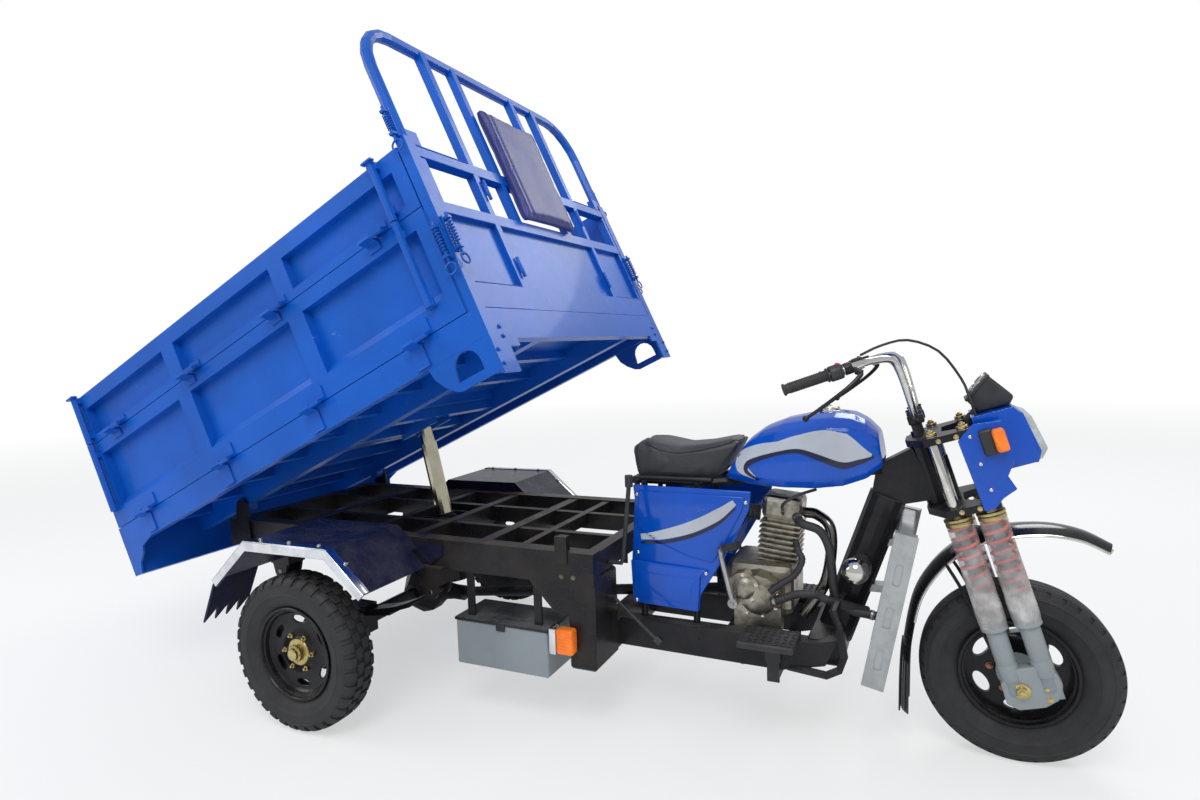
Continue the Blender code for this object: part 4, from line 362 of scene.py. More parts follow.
def rubber(name, colour, rough, dust=0.35, scale=500, strength=0.25):
    """Moulded rubber or plastic with a fine grain and grey dust."""
    material, tree, skin = new_finish(name)
    film = use(tree, DUST, Amount=dust, Scale=14)["Mask"]
    cloud = ramp(tree, noise(tree, place_of(tree), 11, 5, 0.6), 0.35, 0.75)
    tone = blend(tree, cloud, colour, shaded(colour, 1.7, 0.004))
    wire(tree, blend(tree, film, tone, RUBBER_DUST), skin["Base Color"])
    wire(tree, plus(tree, times(tree, cloud, 0.12), rough, True), skin["Roughness"])
    wire(tree, use(tree, GRAIN, Scale=scale, Strength=strength, Depth=0.0006)["Normal"], skin["Normal"])
    return material


def vinyl(name, colour, rough):
    """Stretched vinyl with leather grain, paler where it is rubbed, and painted shade in the grain's valleys."""
    material, tree, skin = new_finish(name, sheen=0.08)
    hide = use(tree, LEATHER, Scale=420, Strength=0.3)
    rub = ramp(tree, noise(tree, place_of(tree), 7), 0.4, 0.75)
    tone = blend(tree, rub, colour, shaded(colour, 1.35, 0.006))
    # painted shade: the colour darkened to 0.55 in the valleys between the grain's cells
    tone = blend(tree, hide["Mask"], shaded(colour, 0.55), tone)
    film = use(tree, DUST, Amount=0.16, Scale=12)["Mask"]
    wire(tree, blend(tree, film, tone, VINYL_DUST), skin["Base Color"])
    wire(tree, plus(tree, times(tree, rub, 0.12), rough, True), skin["Roughness"])
    wire(tree, hide["Normal"], skin["Normal"])
    return material


def net(name):
    """A woven sleeve: pale threads crossing both ways with open gaps between them, closer low down."""
    material, tree, skin = new_finish(name, rough=0.45)
    lines = []
    for turn in (NET_ANGLE, -NET_ANGLE):
        wave = add_node(tree, "ShaderNodeTexWave",
                        {"Vector": place_of(tree, turn=(0, turn, 0)), "Scale": 62, "Distortion": 0},
                        wave_type="BANDS", bands_direction="X")
        lines.append(ramp(tree, wave.outputs["Fac"], 0.4, 0.7))
    threads = calc(tree, "MAXIMUM", *lines)
    place = place_of(tree)
    cloud = ramp(tree, noise(tree, place, 16), 0.35, 0.7)
    wire(tree, blend(tree, cloud, (0.42, 0.42, 0.41), (0.7, 0.7, 0.69)), skin["Base Color"])
    low = ramp(tree, height_of(tree, place), 0.7, 0.52)
    cover = plus(tree, times(tree, threads, 0.34), times(tree, cloud, 0.26))
    wire(tree, plus(tree, cover, times(tree, low, 0.42), True), skin["Alpha"])
    wire(tree, bump(tree, threads, 0.5, 0.0008), skin["Normal"])
    return material


# Each finish: its maker, colour and roughness, then the maker's own values
FINISHES = {
    "blue_paint": (paint, (0, 0.1, 0.52), 0.36, 0.06, 0.5, (0.25, 0.38, 0.72), 0.12),
    "gloss_blue": (paint, (0, 0.085, 0.55), 0.16, 0.03, 0.12, PAINT_SCRATCH, 0.45, 0.03),
    "navy_paint": (paint, (0.006, 0.03, 0.2), 0.42, 0.22, 0.5),
    "black_paint": (paint, (0.01, 0.01, 0.014), 0.3, 0.3, 0.35, (0.1, 0.1, 0.11)),
    "guard_paint": (paint, (0.008, 0.01, 0.035), 0.24, 0.16, 0.3, (0.1, 0.1, 0.14)),
    "grey_paint": (paint, (0.27, 0.31, 0.33), 0.36, 0.1, 0.3, (0.45, 0.47, 0.48)),
    "chrome": (metal, (0.72, 0.7, 0.64), 0.1, (0.16, 0.15, 0.12), 0.25, 120, 0.05),
    "hoist_chrome": (metal, (0.62, 0.57, 0.42), 0.13, (0.25, 0.22, 0.13), 0.18, 60, 0.03),
    "dark_steel": (metal, (0.1, 0.1, 0.1), 0.3, (0.03, 0.028, 0.025), 0.5),
    # engine_metal: heavy dark patches, partly dirt and partly painted shade standing for the shade between the
    # engine's parts
    "engine_metal": (metal, (0.42, 0.39, 0.32), 0.36, (0.07, 0.065, 0.05), 0.6, 300, 0.45),
    "radiator_metal": (metal, (0.46, 0.48, 0.48), 0.42, (0.16, 0.16, 0.15), 0.25, 220, 0.1, 0.5),
    "brass": (metal, (0.62, 0.5, 0.22), 0.26, (0.14, 0.1, 0.04), 0.4, 200, 0.2),
    "black_rim": (paint, (0.008, 0.008, 0.01), 0.22, 0.22, 0.3, (0.09, 0.09, 0.09)),
    "tyre_rubber": (rubber, (0.016, 0.016, 0.018), 0.62, 0.28),
    "black_rubber": (rubber, (0.02, 0.02, 0.022), 0.5, 0.22),
    "black_plastic": (rubber, (0.022, 0.022, 0.025), 0.38, 0.12, 900, 0.2),
    "black_vinyl": (vinyl, (0.032, 0.033, 0.037), 0.38),
    "navy_vinyl": (vinyl, (0.03, 0.042, 0.25), 0.34),
    "spring_red": (rubber, (0.6, 0.1, 0.07), 0.42, 0.1),
    "orange_lens": (rubber, (0.9, 0.2, 0.015), 0.12, 0.05, 160, 0.3),
    "clear_lens": (rubber, (0.5, 0.53, 0.5), 0.08, 0.05, 90, 0.5),
    "fender_black": (paint, (0.006, 0.007, 0.012), 0.16, 0.1, 0.2, (0.1, 0.1, 0.12), 0.5),
    "fork_grey": (paint, (0.32, 0.36, 0.37), 0.3, 0.08, 0.25, (0.5, 0.52, 0.53)),
    "silver_film": (paint, (0.52, 0.56, 0.62), 0.2, 0.05, 0.1, (0.62, 0.64, 0.66), 0.4),
    "dark_film": (paint, (0.01, 0.014, 0.05), 0.22, 0.05, 0.1, (0.1, 0.1, 0.14), 0.4),
    "copper": (metal, (0.38, 0.16, 0.08), 0.34, (0.07, 0.04, 0.03), 0.5, 240, 0.2),
    "bare_steel": (metal, (0.48, 0.48, 0.47), 0.3, (0.12, 0.11, 0.1), 0.5, 200, 0.15),
    "dark_chrome": (metal, (0.2, 0.19, 0.17), 0.18, (0.06, 0.05, 0.04), 0.5, 120, 0.08),
    "lamp_glass": (rubber, (0.4, 0.44, 0.42), 0.1, 0.05, 90, 0.3),
    "seat_vinyl": (vinyl, (0.04, 0.041, 0.046), 0.4),
    "red_button": (rubber, (0.62, 0.02, 0.015), 0.28, 0.05),
    "net_wrap": (net,),
    "bright_strip": (metal, (0.78, 0.8, 0.82), 0.16, (0.3, 0.3, 0.3), 0.3, 90, 0.08),
    "speckled_black": (paint, (0.012, 0.014, 0.016), 0.3, 0.75, 0.3, (0.2, 0.2, 0.2), 0, 0.1, (0.2, 0.21, 0.2)),
    "chassis_paint": (paint, (0.01, 0.01, 0.013), 0.28, 0.85, 0.35, (0.1, 0.1, 0.11), 0, 0.1, (0.19, 0.145, 0.085)),
}
FINISH = {name: make(name, *values) for name, (make, *values) in FINISHES.items()}
NODE_FINISH = {"hoist_stage_1": "hoist_chrome", "hoist_stage_2": "hoist_chrome", "bed_frame": "blue_paint",
               "chassis_frame": "chassis_paint"}


# Modelling steps

def rest():
    """Leave edit mode with nothing selected."""
    if bpy.context.object and bpy.context.object.mode != "OBJECT":
        bpy.ops.object.mode_set(mode="OBJECT")
    bpy.ops.object.select_all(action="DESELECT")


def pick(item):
    """Make one object the selected and active one."""
    rest()
    item.select_set(True)
    bpy.context.view_layer.objects.active = item


def edit(item):
    """Open a mesh for editing with all of it selected."""
    pick(item)
    bpy.ops.object.mode_set(mode="EDIT")
    bpy.ops.mesh.select_all(action="SELECT")


def mend(item, gap=0):
    """Merge points that are closer than a gap and turn the faces outward."""
    edit(item)
    if gap:
        bpy.ops.mesh.remove_doubles(threshold=gap)
    bpy.ops.mesh.normals_make_consistent(inside=False)
    rest()
    return item


def change(item, kind, **settings):
    """Apply a modifier with its settings."""
    pick(item)
    modifier = item.modifiers.new(kind.lower(), kind)
    for label, value in settings.items():
        setattr(modifier, label, value)
    bpy.ops.object.modifier_apply(modifier=modifier.name)
    return item


def soften(item, width, segments=2, angle=32):
    """Round the edges that turn more than an angle."""
    return change(item, "BEVEL", width=width, segments=segments, limit_method="ANGLE",
                  angle_limit=math.radians(angle), harden_normals=False)


def block(low, high, edge=0.002, segments=2):
    """A box between two corners with rounded edges."""
    rest()
    size = Vector(high) - Vector(low)
    bpy.ops.mesh.primitive_cube_add(size=1, location=(Vector(low) + Vector(high)) / 2, scale=size)
    bpy.ops.object.transform_apply(location=False, rotation=False, scale=True)
    return soften(bpy.context.active_object, edge, segments)


def bar(start, end, radius, sides=24, edge=0.001, tip=None):
    """A round bar between two points, tapered where a tip radius is given."""
    rest()
    start, end = Vector(start), Vector(end)
    way = end - start
    bpy.ops.mesh.primitive_cone_add(
        vertices=sides, radius1=radius, radius2=radius if tip is None else tip, depth=way.length,
        location=(start + end) / 2, rotation=way.to_track_quat("Z", "Y").to_euler())
    return soften(bpy.context.active_object, edge, 2, 45)


def trace(points, joined=False):
    """A chain of vertices drawn point by point, left selected in edit mode."""
    rest()
    bpy.ops.mesh.primitive_plane_add(size=0.01)
    item = bpy.context.active_object
    bpy.ops.object.mode_set(mode="EDIT")
    bpy.ops.mesh.select_mode(type="VERT")
    bpy.ops.mesh.select_all(action="SELECT")
    bpy.ops.mesh.merge(type="CENTER")
    bpy.ops.transform.translate(value=points[0])
    for before, after in zip(points, points[1:]):
        bpy.ops.mesh.extrude_region_move(TRANSFORM_OT_translate={"value": Vector(after) - Vector(before)})
    bpy.ops.mesh.select_all(action="SELECT")
    if joined:
        bpy.ops.mesh.edge_face_add()
    return item


def spin(item, steps, angle, gap):
    """Turn what is selected round the Y axis."""
    bpy.ops.mesh.spin(steps=steps, angle=angle, center=(0, 0, 0), axis=(0, 1, 0))
    return mend(item, gap)


def lathe(profile, steps=64, looped=False):
    """A profile of (radius, y) points turned round the Y axis."""
    points = [(radius, y, 0) for radius, y in profile]
    return spin(trace(points + points[:1] if looped else points), steps, math.tau, 0.00003)


def plate(outline, low, high, edge=0.002, segments=2):
    """A flat outline of (x, z) points given its thickness between two y."""
    item = trace([(x, low, z) for x, z in outline], joined=True)
    bpy.ops.mesh.extrude_region_move(TRANSFORM_OT_translate={"value": (0, high - low, 0)})
    return soften(mend(item), edge, segments)


def circle(count, radius, start=0):
    """Points evenly round a circle, from a share of the first step on."""
    angles = [math.tau * (number + start) / count for number in range(count)]
    return [(radius * math.cos(angle), radius * math.sin(angle)) for angle in angles]


def curve_points(points, steps=6):
    """Points along a smooth curve through the given ones."""
    spots = [Vector(point) for point in points]
    spots = [spots[0] * 2 - spots[1]] + spots + [spots[-1] * 2 - spots[-2]]
    route = []
    for index in range(1, len(spots) - 2):
        a, b, c, d = spots[index - 1:index + 3]
        for step in range(steps):
            t = step / steps
            bow = (2 * a - 5 * b + 4 * c - d) * t * t + (3 * b - a - 3 * c + d) * t ** 3
            route.append(0.5 * (2 * b + (c - a) * t + bow))
    route.append(spots[-2])
    return route


def pipe(points, radius, around=3, widths=None):
    """A round pipe along points, with its own width at each point on request."""
    rest()
    bpy.ops.curve.primitive_nurbs_path_add()
    item = bpy.context.active_object
    item.location = (0, 0, 0)
    line = item.data
    line.splines.clear()
    spline = line.splines.new("POLY")
    spline.points.add(len(points) - 1)
    for number, (knot, spot) in enumerate(zip(spline.points, points)):
        knot.co = (*spot, 1)
        knot.radius = widths[number] if widths else 1
    line.bevel_depth = radius
    line.bevel_resolution = around
    line.use_fill_caps = True
    pick(item)
    bpy.ops.object.convert(target="MESH")
    return mend(item, 0.00002)


def bolt(place, way, radius=0.006, height=0.005):
    """A six-sided bolt head with a washer, standing on a surface."""
    place, way = Vector(place), Vector(way).normalized()
    washer = bar(place, place + way * height * 0.3, radius * 1.25, 20, 0.0004)
    head = bar(place + way * height * 0.2, place + way * height, radius, 6, radius * 0.12)
    return together([head, washer])


def screw(place, way, radius=0.006):
    """A round-headed screw."""
    place, way = Vector(place), Vector(way).normalized()
    return bar(place, place + way * radius * 0.55, radius, 20, radius * 0.35, radius * 0.7)


def sheet(columns, rows, spot_of):
    """A grid with each of its points put at spot_of(row, column)."""
    rest()
    bpy.ops.mesh.primitive_grid_add(x_subdivisions=columns - 1, y_subdivisions=rows, size=1)
    item = bpy.context.active_object
    for row in range(rows + 1):
        for column in range(columns):
            item.data.vertices[row * columns + column].co = spot_of(row, column)
    return item


def across_way(points, index):
    """The way square to a line of points at one of them, in the XZ plane."""
    way = (points[min(index + 1, len(points) - 1)] - points[max(index - 1, 0)]).normalized()
    return Vector((-way.z, 0, way.x))


def together(items):
    """Join objects into the first of them."""
    rest()
    for item in items:
        item.select_set(True)
    bpy.context.view_layer.objects.active = items[0]
    if len(items) > 1:
        bpy.ops.object.join()
    return items[0]


def twin(item, matrix):
    """A copy of a piece with its own mesh, put elsewhere."""
    copy = item.copy()
    copy.data = item.data.copy()
    bpy.context.scene.collection.objects.link(copy)
    copy.matrix_world = matrix @ item.matrix_world
    return copy


def discard(*items):
    """Remove pieces that have been used up."""
    for item in items:
        bpy.data.objects.remove(item)


def settle(item, name, finish, body, axes=None, stands_for=(), smooth=35):
    """Move a finished piece from its body's axes, or others, to the frame, and give it its finish and body."""
    pick(item)
    item.matrix_world = (axes or AXES_OF.get(body, WORLD)) @ item.matrix_world
    flipped = item.matrix_world.determinant() < 0
    bpy.ops.object.transform_apply(location=True, rotation=True, scale=True)
    if flipped:
        mend(item)
        pick(item)
    bpy.ops.object.shade_smooth_by_angle(angle=math.radians(smooth))
    item.name = item.data.name = name
    item.data.materials.clear()
    item.data.materials.append(FINISH[finish])
    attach(item, body)
    if stands_for:
        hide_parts(*stands_for)


def settle_pair(item, name, finish, body, axes=None, node=None):
    """A right-hand piece and its mirror image, each standing for its own side's node if one is named."""
    for side, piece in (("right", item), ("left", twin(item, MIRROR))):
        settle(piece, f"{name}_{side}", finish, body, axes, [f"{node}_{side}"] if node else ())


# Wheels

TYRE_STEPS = 120
WHEEL_BOLTS = 6


def tyre_carcass(grooved):
    """A tyre's closed section turned round its axle, with ribs or with a bald tread for blocks."""
    tread = 0.2765 if grooved else 0.2735
    side = [(0.157, 0.0355), (0.1715, 0.0425), (0.1765, 0.047), (0.185, 0.052), (0.199, 0.0595), (0.214, 0.063),
            (0.2155, 0.0643), (0.219, 0.0646), (0.2205, 0.0634), (0.234, 0.064), (0.2475, 0.0628), (0.249, 0.064),
            (0.252, 0.0636), (0.2535, 0.062), (0.262, 0.057), (tread - 0.004, 0.049)]
    if grooved:
        side = side[:-2] + [(0.264, 0.059), (0.2735, 0.052), (0.279, 0.0445), (0.2805, 0.039), (0.2765, 0.0372),
                            (0.2765, 0.0336), (0.281, 0.032), (0.2818, 0.017), (0.277, 0.0152), (0.277, 0.0118),
                            (0.282, 0.0102), (0.2825, 0)]
    else:
        side += [(tread, 0.04), (tread + 0.001, 0.0)]
    outline = side + [(radius, -y) for radius, y in reversed(side[:-1])]
    inner = [(0.16, -0.03), (0.16, 0.03)]
    return lathe(outline + inner, TYRE_STEPS, looped=True)


def wedge(section, turn, at, count):
    """A block of tread: a section of (radius, y) turned through part of the circle, and its copies."""
    item = spin(trace([(radius, y, 0) for radius, y in section], joined=True), 2, math.radians(turn), 0.00002)
    soften(item, 0.001, 1, 40)
    copies = [twin(item, Matrix.Rotation(math.radians(at) + math.tau * number / count, 4, "Y"))
              for number in range(count)]
    discard(item)
    return together(copies)


def make_rear_tyre():
    """A carcass with four rows of staggered blocks."""
    inner = [(0.2715, 0.0025), (0.2822, 0.0025), (0.2816, 0.029), (0.2715, 0.029)]
    outer = [(0.27, 0.0335), (0.2812, 0.0335), (0.2788, 0.046), (0.273, 0.056), (0.262, 0.0645), (0.2535, 0.065),
             (0.2535, 0.059), (0.264, 0.05)]
    count = 34
    pitch = 360 / count
    rows = [tyre_carcass(False)]
    for sign, shift in ((1, 0), (-1, 0.5)):
        rows.append(wedge([(r, sign * y) for r, y in inner], pitch * 0.66, pitch * shift, count))
        rows.append(wedge([(r, sign * y) for r, y in outer], pitch * 0.6, pitch * (shift + 0.5), count))
    return together(rows)


def make_front_tyre():
    """A ribbed carcass with slots pressed into its shoulders."""
    item = tyre_carcass(True)
    edit(item)
    bpy.ops.mesh.select_all(action="DESELECT")
    rest()
    for face in item.data.polygons:
        centre = face.center
        slot = round((math.atan2(centre.z, centre.x) / math.tau) * TYRE_STEPS - 0.5) % 3 == 0
        face.select = slot and 0.264 < math.hypot(centre.x, centre.z) < 0.279 and abs(centre.y) > 0.044
    pick(item)
    bpy.ops.object.mode_set(mode="EDIT")
    bpy.ops.mesh.select_mode(type="FACE")
    bpy.ops.mesh.inset(thickness=0.0016)
    bpy.ops.mesh.extrude_region_shrink_fatten(TRANSFORM_OT_shrink_fatten={"value": -0.0035})
    bpy.ops.mesh.select_mode(type="VERT")
    rest()
    return item


def cut_by(item, cutters):
    """Cut a piece by others and remove them."""
    cutter = together(cutters)
    change(item, "BOOLEAN", operation="DIFFERENCE", solver="EXACT", object=cutter)
    discard(cutter)
    return item


def oval_cutters(distance, long, short, y_low, y_high, count=6):
    """Oval holes round an axle, as solids to cut with."""
    cutters = []
    for number in range(count):
        rest()
        angle = math.tau * (number + 0.5) / count
        middle = (distance, (y_low + y_high) / 2, 0)
        bpy.ops.mesh.primitive_cylinder_add(vertices=40, radius=1, depth=y_high - y_low, location=middle,
                                            rotation=(math.pi / 2, 0, 0))
        item = bpy.context.active_object
        item.scale = (short, long, 1)
        bpy.context.view_layer.update()
        item.matrix_world = Matrix.Rotation(angle, 4, "Y") @ item.matrix_world
        cutters.append(item)
    return cutters


def rim_edge():
    """The stepped flange of a pressed rim from its outer face to its inner one."""
    front = [(0.14, 0.015), (0.144, 0.02), (0.1475, 0.023), (0.1495, 0.038), (0.155, 0.042), (0.1565, 0.049),
             (0.159, 0.0518), (0.167, 0.0525), (0.169, 0.0508), (0.1688, 0.047), (0.162, 0.044), (0.1555, 0.0385)]
    back = [(radius, -y) for radius, y in reversed(front[3:])]
    return front + back + [(0.149, -0.02)]


def make_rear_rim():
    """The pressed wheel with its drum behind, its outer face towards +Y."""
    offset = 0.01
    face = [(0, 0.044), (0.016, 0.044), (0.02, 0.042), (0.022, 0.03), (0.03, 0.024), (0.052, 0.022),
            (0.056, 0.0185), (0.068, 0.017), (0.072, 0.0145), (0.095, 0.0125), (0.134, 0.013)]
    back = [(0.149, offset - 0.004), (0.12, offset - 0.003), (0.092, offset - 0.005), (0.091, offset - 0.03),
            (0.091, -0.083), (0.088, -0.0845), (0, -0.0845)]
    wheel = lathe(face + rim_edge() + back, 96)
    cut_by(wheel, oval_cutters(0.117, 0.031, 0.0135, offset - 0.012, offset + 0.014))
    return soften(wheel, 0.0012, 2, 50)


def make_front_rim():
    """A drop-centre rim with a disc, its holes and its hub."""
    face = [(0, 0.084), (0.028, 0.084), (0.03, 0.082), (0.034, 0.064), (0.04, 0.06), (0.084, 0.056),
            (0.0875, 0.053), (0.088, 0.014), (0.134, 0.007)]
    back = [(0.149, -0.004), (0.064, -0.006), (0.061, -0.022), (0.057, -0.024), (0.03, -0.031),
            (0.0262, -0.036), (0.0255, -0.083), (0.024, -0.0845), (0, -0.0845)]
    wheel = lathe(face + rim_edge() + back, 96)
    cut_by(wheel, oval_cutters(0.115, 0.036, 0.019, -0.012, 0.013))
    return soften(wheel, 0.0012, 2, 50)


def make_wheels():
    """Both rear wheels from one set of pieces, and the front wheel."""
    hub = lathe([(0, 0.057), (0.018, 0.057), (0.021, 0.055), (0.0225, 0.047), (0.03, 0.044), (0.032, 0.029),
                 (0.047, 0.0265), (0.05, 0.022), (0.05, 0.018), (0, 0.018)])
    brass = [hub]
    for (x, z), (small_x, small_z) in zip(circle(WHEEL_BOLTS, 0.064), circle(WHEEL_BOLTS, 0.026)):
        brass.append(bar((x, 0.0165, z), (x, 0.0365, z), 0.0048, 16, 0.0006))
        brass.append(bar((x, 0.0165, z), (x, 0.0275, z), 0.0098, 6, 0.0012))
        brass.append(bar((small_x, 0.044, small_z), (small_x, 0.048, small_z), 0.0034, 12, 0.0006))
    drawn = (make_rear_tyre(), make_rear_rim(), together(brass))
    for side, sign in (("right", -1), ("left", 1)):
        place = Matrix.Translation((AXLE_X, sign * TRACK_HALF, WHEEL_RADIUS))
        place = place @ Matrix.Rotation(math.pi if sign < 0 else 0, 4, "X")
        body = "rear_wheel_" + side
        tyre, wheel, nuts = (twin(item, place) for item in drawn)
        settle(tyre, "rear_tyre_" + side, "tyre_rubber", body, stands_for=["tyre_rear_" + side])
        settle(wheel, "rear_rim_" + side, "black_rim", body, stands_for=["rim_rear_" + side])
        settle(nuts, "rear_hub_" + side, "brass", body)
    discard(*drawn)
    place = Matrix.Translation(FRONT_HUB)
    settle(make_front_tyre(), "front_tyre", "tyre_rubber", "front_wheel", place, ["tyre_front"])
    settle(make_front_rim(), "front_rim", "black_rim", "front_wheel", place, ["rim_front"])
    flange = lathe([(0.027, -0.034), (0.06, -0.027), (0.0605, -0.024), (0.055, -0.0225), (0.027, -0.025)],
                   looped=True)
    settle(flange, "front_hub_cap", "fork_grey", "front_wheel", place)
    heads = [bolt((x, -0.0065, z), (0, -1, 0), 0.0088, 0.009) for x, z in circle(WHEEL_BOLTS, 0.077)]
    settle(together(heads), "front_wheel_bolts", "copper", "front_wheel", place)


# Fork

LEG_F = (0.045, 0.136)
LEG_Y = 0.142
COIL_END, COIL_STEPS = 0.012, 14
SLEEVE = ((-0.47, 0.93), (-0.452, 0.99), (-0.43, 1), (-0.38, 0.97), (-0.3, 0.96), (-0.22, 0.96), (-0.16, 0.98),
          (-0.138, 0.9))


def leg_bar(f, low, high, *form):
    """A turned piece along a fork leg."""
    return bar((f, -LEG_Y, low), (f, -LEG_Y, high), *form)


def coil(foot, top, radius, wire_radius, turns):
    """A wound spring round an upright line."""
    foot = Vector(foot)
    rise = top[2] - foot.z - 2 * COIL_END
    points = []
    for step in range(turns * COIL_STEPS + 1):
        share = step / (turns * COIL_STEPS)
        angle = math.tau * turns * share
        points.append(foot + Vector((radius * math.cos(angle), radius * math.sin(angle), COIL_END + share * rise)))
    return pipe(points, wire_radius, 2)


def make_springs():
    """Red springs in pale net sleeves, with metal rings at both ends."""
    coils, sleeves, rings, caps = [], [], [], []
    for f in LEG_F:
        coils.append(coil((f, -LEG_Y, -0.462), (f, -LEG_Y, -0.142), 0.0325, 0.0052, 10))
        sleeves.append(pipe([(f, -LEG_Y, s) for s, width in SLEEVE], 0.04, 7, [width for s, width in SLEEVE]))
        rings += [leg_bar(f, -0.142, -0.134, 0.041, 40, 0.002), leg_bar(f, -0.158, -0.146, 0.0395, 40, 0.002)]
        caps += [leg_bar(f, -0.482, -0.466, 0.0385, 40, 0.004, 0.036), leg_bar(f, -0.395, -0.378, 0.0298, 32, 0.002)]
    settle_pair(together(coils), "fork_springs", "spring_red", "steering")
    settle_pair(together(sleeves), "spring_nets", "net_wrap", "steering", node="spring_boot")
    settle_pair(together(rings), "spring_rings", "brass", "steering")
    settle_pair(together(caps), "spring_seats", "fork_grey", "steering")


def make_fork_trim():
    """Chromed tubes, cap nuts, pinch bolts and the grey leg ends."""
    tubes, nuts, collars, lower = [], [], [], []
    for f in LEG_F:
        tubes.append(leg_bar(f, -0.136, 0.1258, 0.0172, 32, 0.0005))
        nuts += [leg_bar(f, 0.119, 0.13, 0.018, 32, 0.002), leg_bar(f, 0.129, 0.137, 0.012, 6, 0.0012),
                 leg_bar(f, 0.136, 0.141, 0.006, 20, 0.002)]
        collars += [leg_bar(f, 0.0945, 0.118, 0.0268, 32, 0.003), leg_bar(f, -0.128, -0.1045, 0.0268, 32, 0.003)]
        lower += [leg_bar(f, -0.585, -0.475, 0.0282, 32, 0.002), leg_bar(f, -0.635, -0.584, 0.0292, 32, 0.003)]
    nuts += [bolt((f, -0.17, s), (0, -1, 0), 0.006, 0.006) for s in (0.104, -0.1165) for f in (0.062, 0.112)]
    lug = [(0.013, -0.64), (0.012, -0.7), (0.04, -0.722), (0.11, -0.722), (0.15, -0.705), (0.172, -0.66),
           (0.165, -0.628), (0.12, -0.6), (0.05, -0.6)]
    lower.append(plate(lug, -LEG_Y - 0.021, -LEG_Y + 0.0205, 0.005, 3))
    ends = [bar((FRONT_AXLE_F, -LEG_Y - near, FRONT_AXLE_S), (FRONT_AXLE_F, -LEG_Y - far, FRONT_AXLE_S), radius,
                sides, 0.002)
            for near, far, radius, sides in ((0.02, 0.026, 0.024, 32), (0.025, 0.037, 0.0165, 6),
                                             (0.036, 0.043, 0.0085, 20))]
    ends += [bolt((0.128, -LEG_Y - 0.02, s), (0, -1, 0), 0.007, 0.007) for s in (-0.668, -0.7)]
    settle_pair(together(tubes), "fork_tubes", "chrome", "steering")
    settle_pair(together(nuts), "fork_nuts", "brass", "steering")
    settle_pair(together(collars), "clamp_collars", "black_paint", "steering")
    settle_pair(together(lower), "fork_sliders", "fork_grey", "steering")
    settle_pair(together(ends), "axle_nuts", "brass", "steering")


def smooth_copy(node, voxel, rounds, puff=0):
    """A merged and remeshed copy of a solid with its facets smoothed away."""
    item = frame["nodes"][node].copy()
    item.data = frame["nodes"][node].data.copy()
    bpy.context.scene.collection.objects.link(item)
    item.parent = None
    item.matrix_world = WORLD
    item.data.materials.clear()
    edit(item)
    bpy.ops.mesh.remove_doubles(threshold=0.00005)
    pick(item)
    item.data.remesh_voxel_size = voxel
    item.data.use_remesh_preserve_volume = True
    bpy.ops.object.voxel_remesh()
    change(item, "SMOOTH", factor=0.5, iterations=rounds)
    if puff:
        edit(item)
        bpy.ops.transform.shrink_fatten(value=puff)
        rest()
    return item


# Films and tank

RIBBON_STEPS, RIBBON_ROWS = 8, 6
FILM_THICKNESS = 0.0006


def ribbon(spine, target, lift, sign, axes=WORLD):
    """A film on a surface: rows of (x, z, half width) pressed on it along Y."""
    points = curve_points([(x, 0, z) for x, z, half in spine], RIBBON_STEPS)
    halves = [half + (later[2] - half) * step / RIBBON_STEPS
              for (x, z, half), later in zip(spine, spine[1:]) for step in range(RIBBON_STEPS)]
    halves.append(spine[-1][2])

    def spot_of(row, column):
        share = row / RIBBON_ROWS * 2 - 1
        spot = points[column] + across_way(points, column) * halves[column] * share
        return spot.x, 0.4 * sign, spot.z

    film = sheet(len(points), RIBBON_ROWS, spot_of)
    film.data.transform(axes)
    change(film, "SHRINKWRAP", target=target, wrap_method="PROJECT", use_project_x=False, use_project_y=True,
           use_project_z=False, use_negative_direction=sign > 0, use_positive_direction=sign < 0, offset=lift)
    return change(mend(film), "SOLIDIFY", thickness=FILM_THICKNESS, offset=0)


def make_tank():
    """The tank with a swept silver film and its dark edge on each side."""
    tank = smooth_copy("fuel_tank", 0.005, 14, 0.0015)
    sweep = [(1.512, 0.872, 0.004), (1.462, 0.905, 0.022), (1.47, 0.938, 0.026), (1.52, 0.966, 0.021),
             (1.59, 0.985, 0.016), (1.66, 1.001, 0.024), (1.73, 1.001, 0.041), (1.79, 0.985, 0.048),
             (1.84, 0.968, 0.026), (1.876, 0.96, 0.006)]
    edge = [(1.522, 0.868, 0.003), (1.478, 0.893, 0.007), (1.484, 0.921, 0.009), (1.53, 0.944, 0.007),
            (1.595, 0.964, 0.006), (1.655, 0.973, 0.007), (1.716, 0.956, 0.009), (1.79, 0.931, 0.011),
            (1.845, 0.943, 0.008), (1.884, 0.957, 0.003)]
    for side, sign in (("right", -1), ("left", 1)):
        settle(ribbon(sweep, tank, 0.0009, sign, VEHICLE), "tank_sweep_" + side, "silver_film", "chassis", WORLD)
        settle(ribbon(edge, tank, 0.0016, sign, VEHICLE), "tank_sweep_edge_" + side, "dark_film", "chassis", WORLD)
    settle(tank, "tank_shell", "gloss_blue", "chassis", WORLD, ["fuel_tank"], smooth=60)


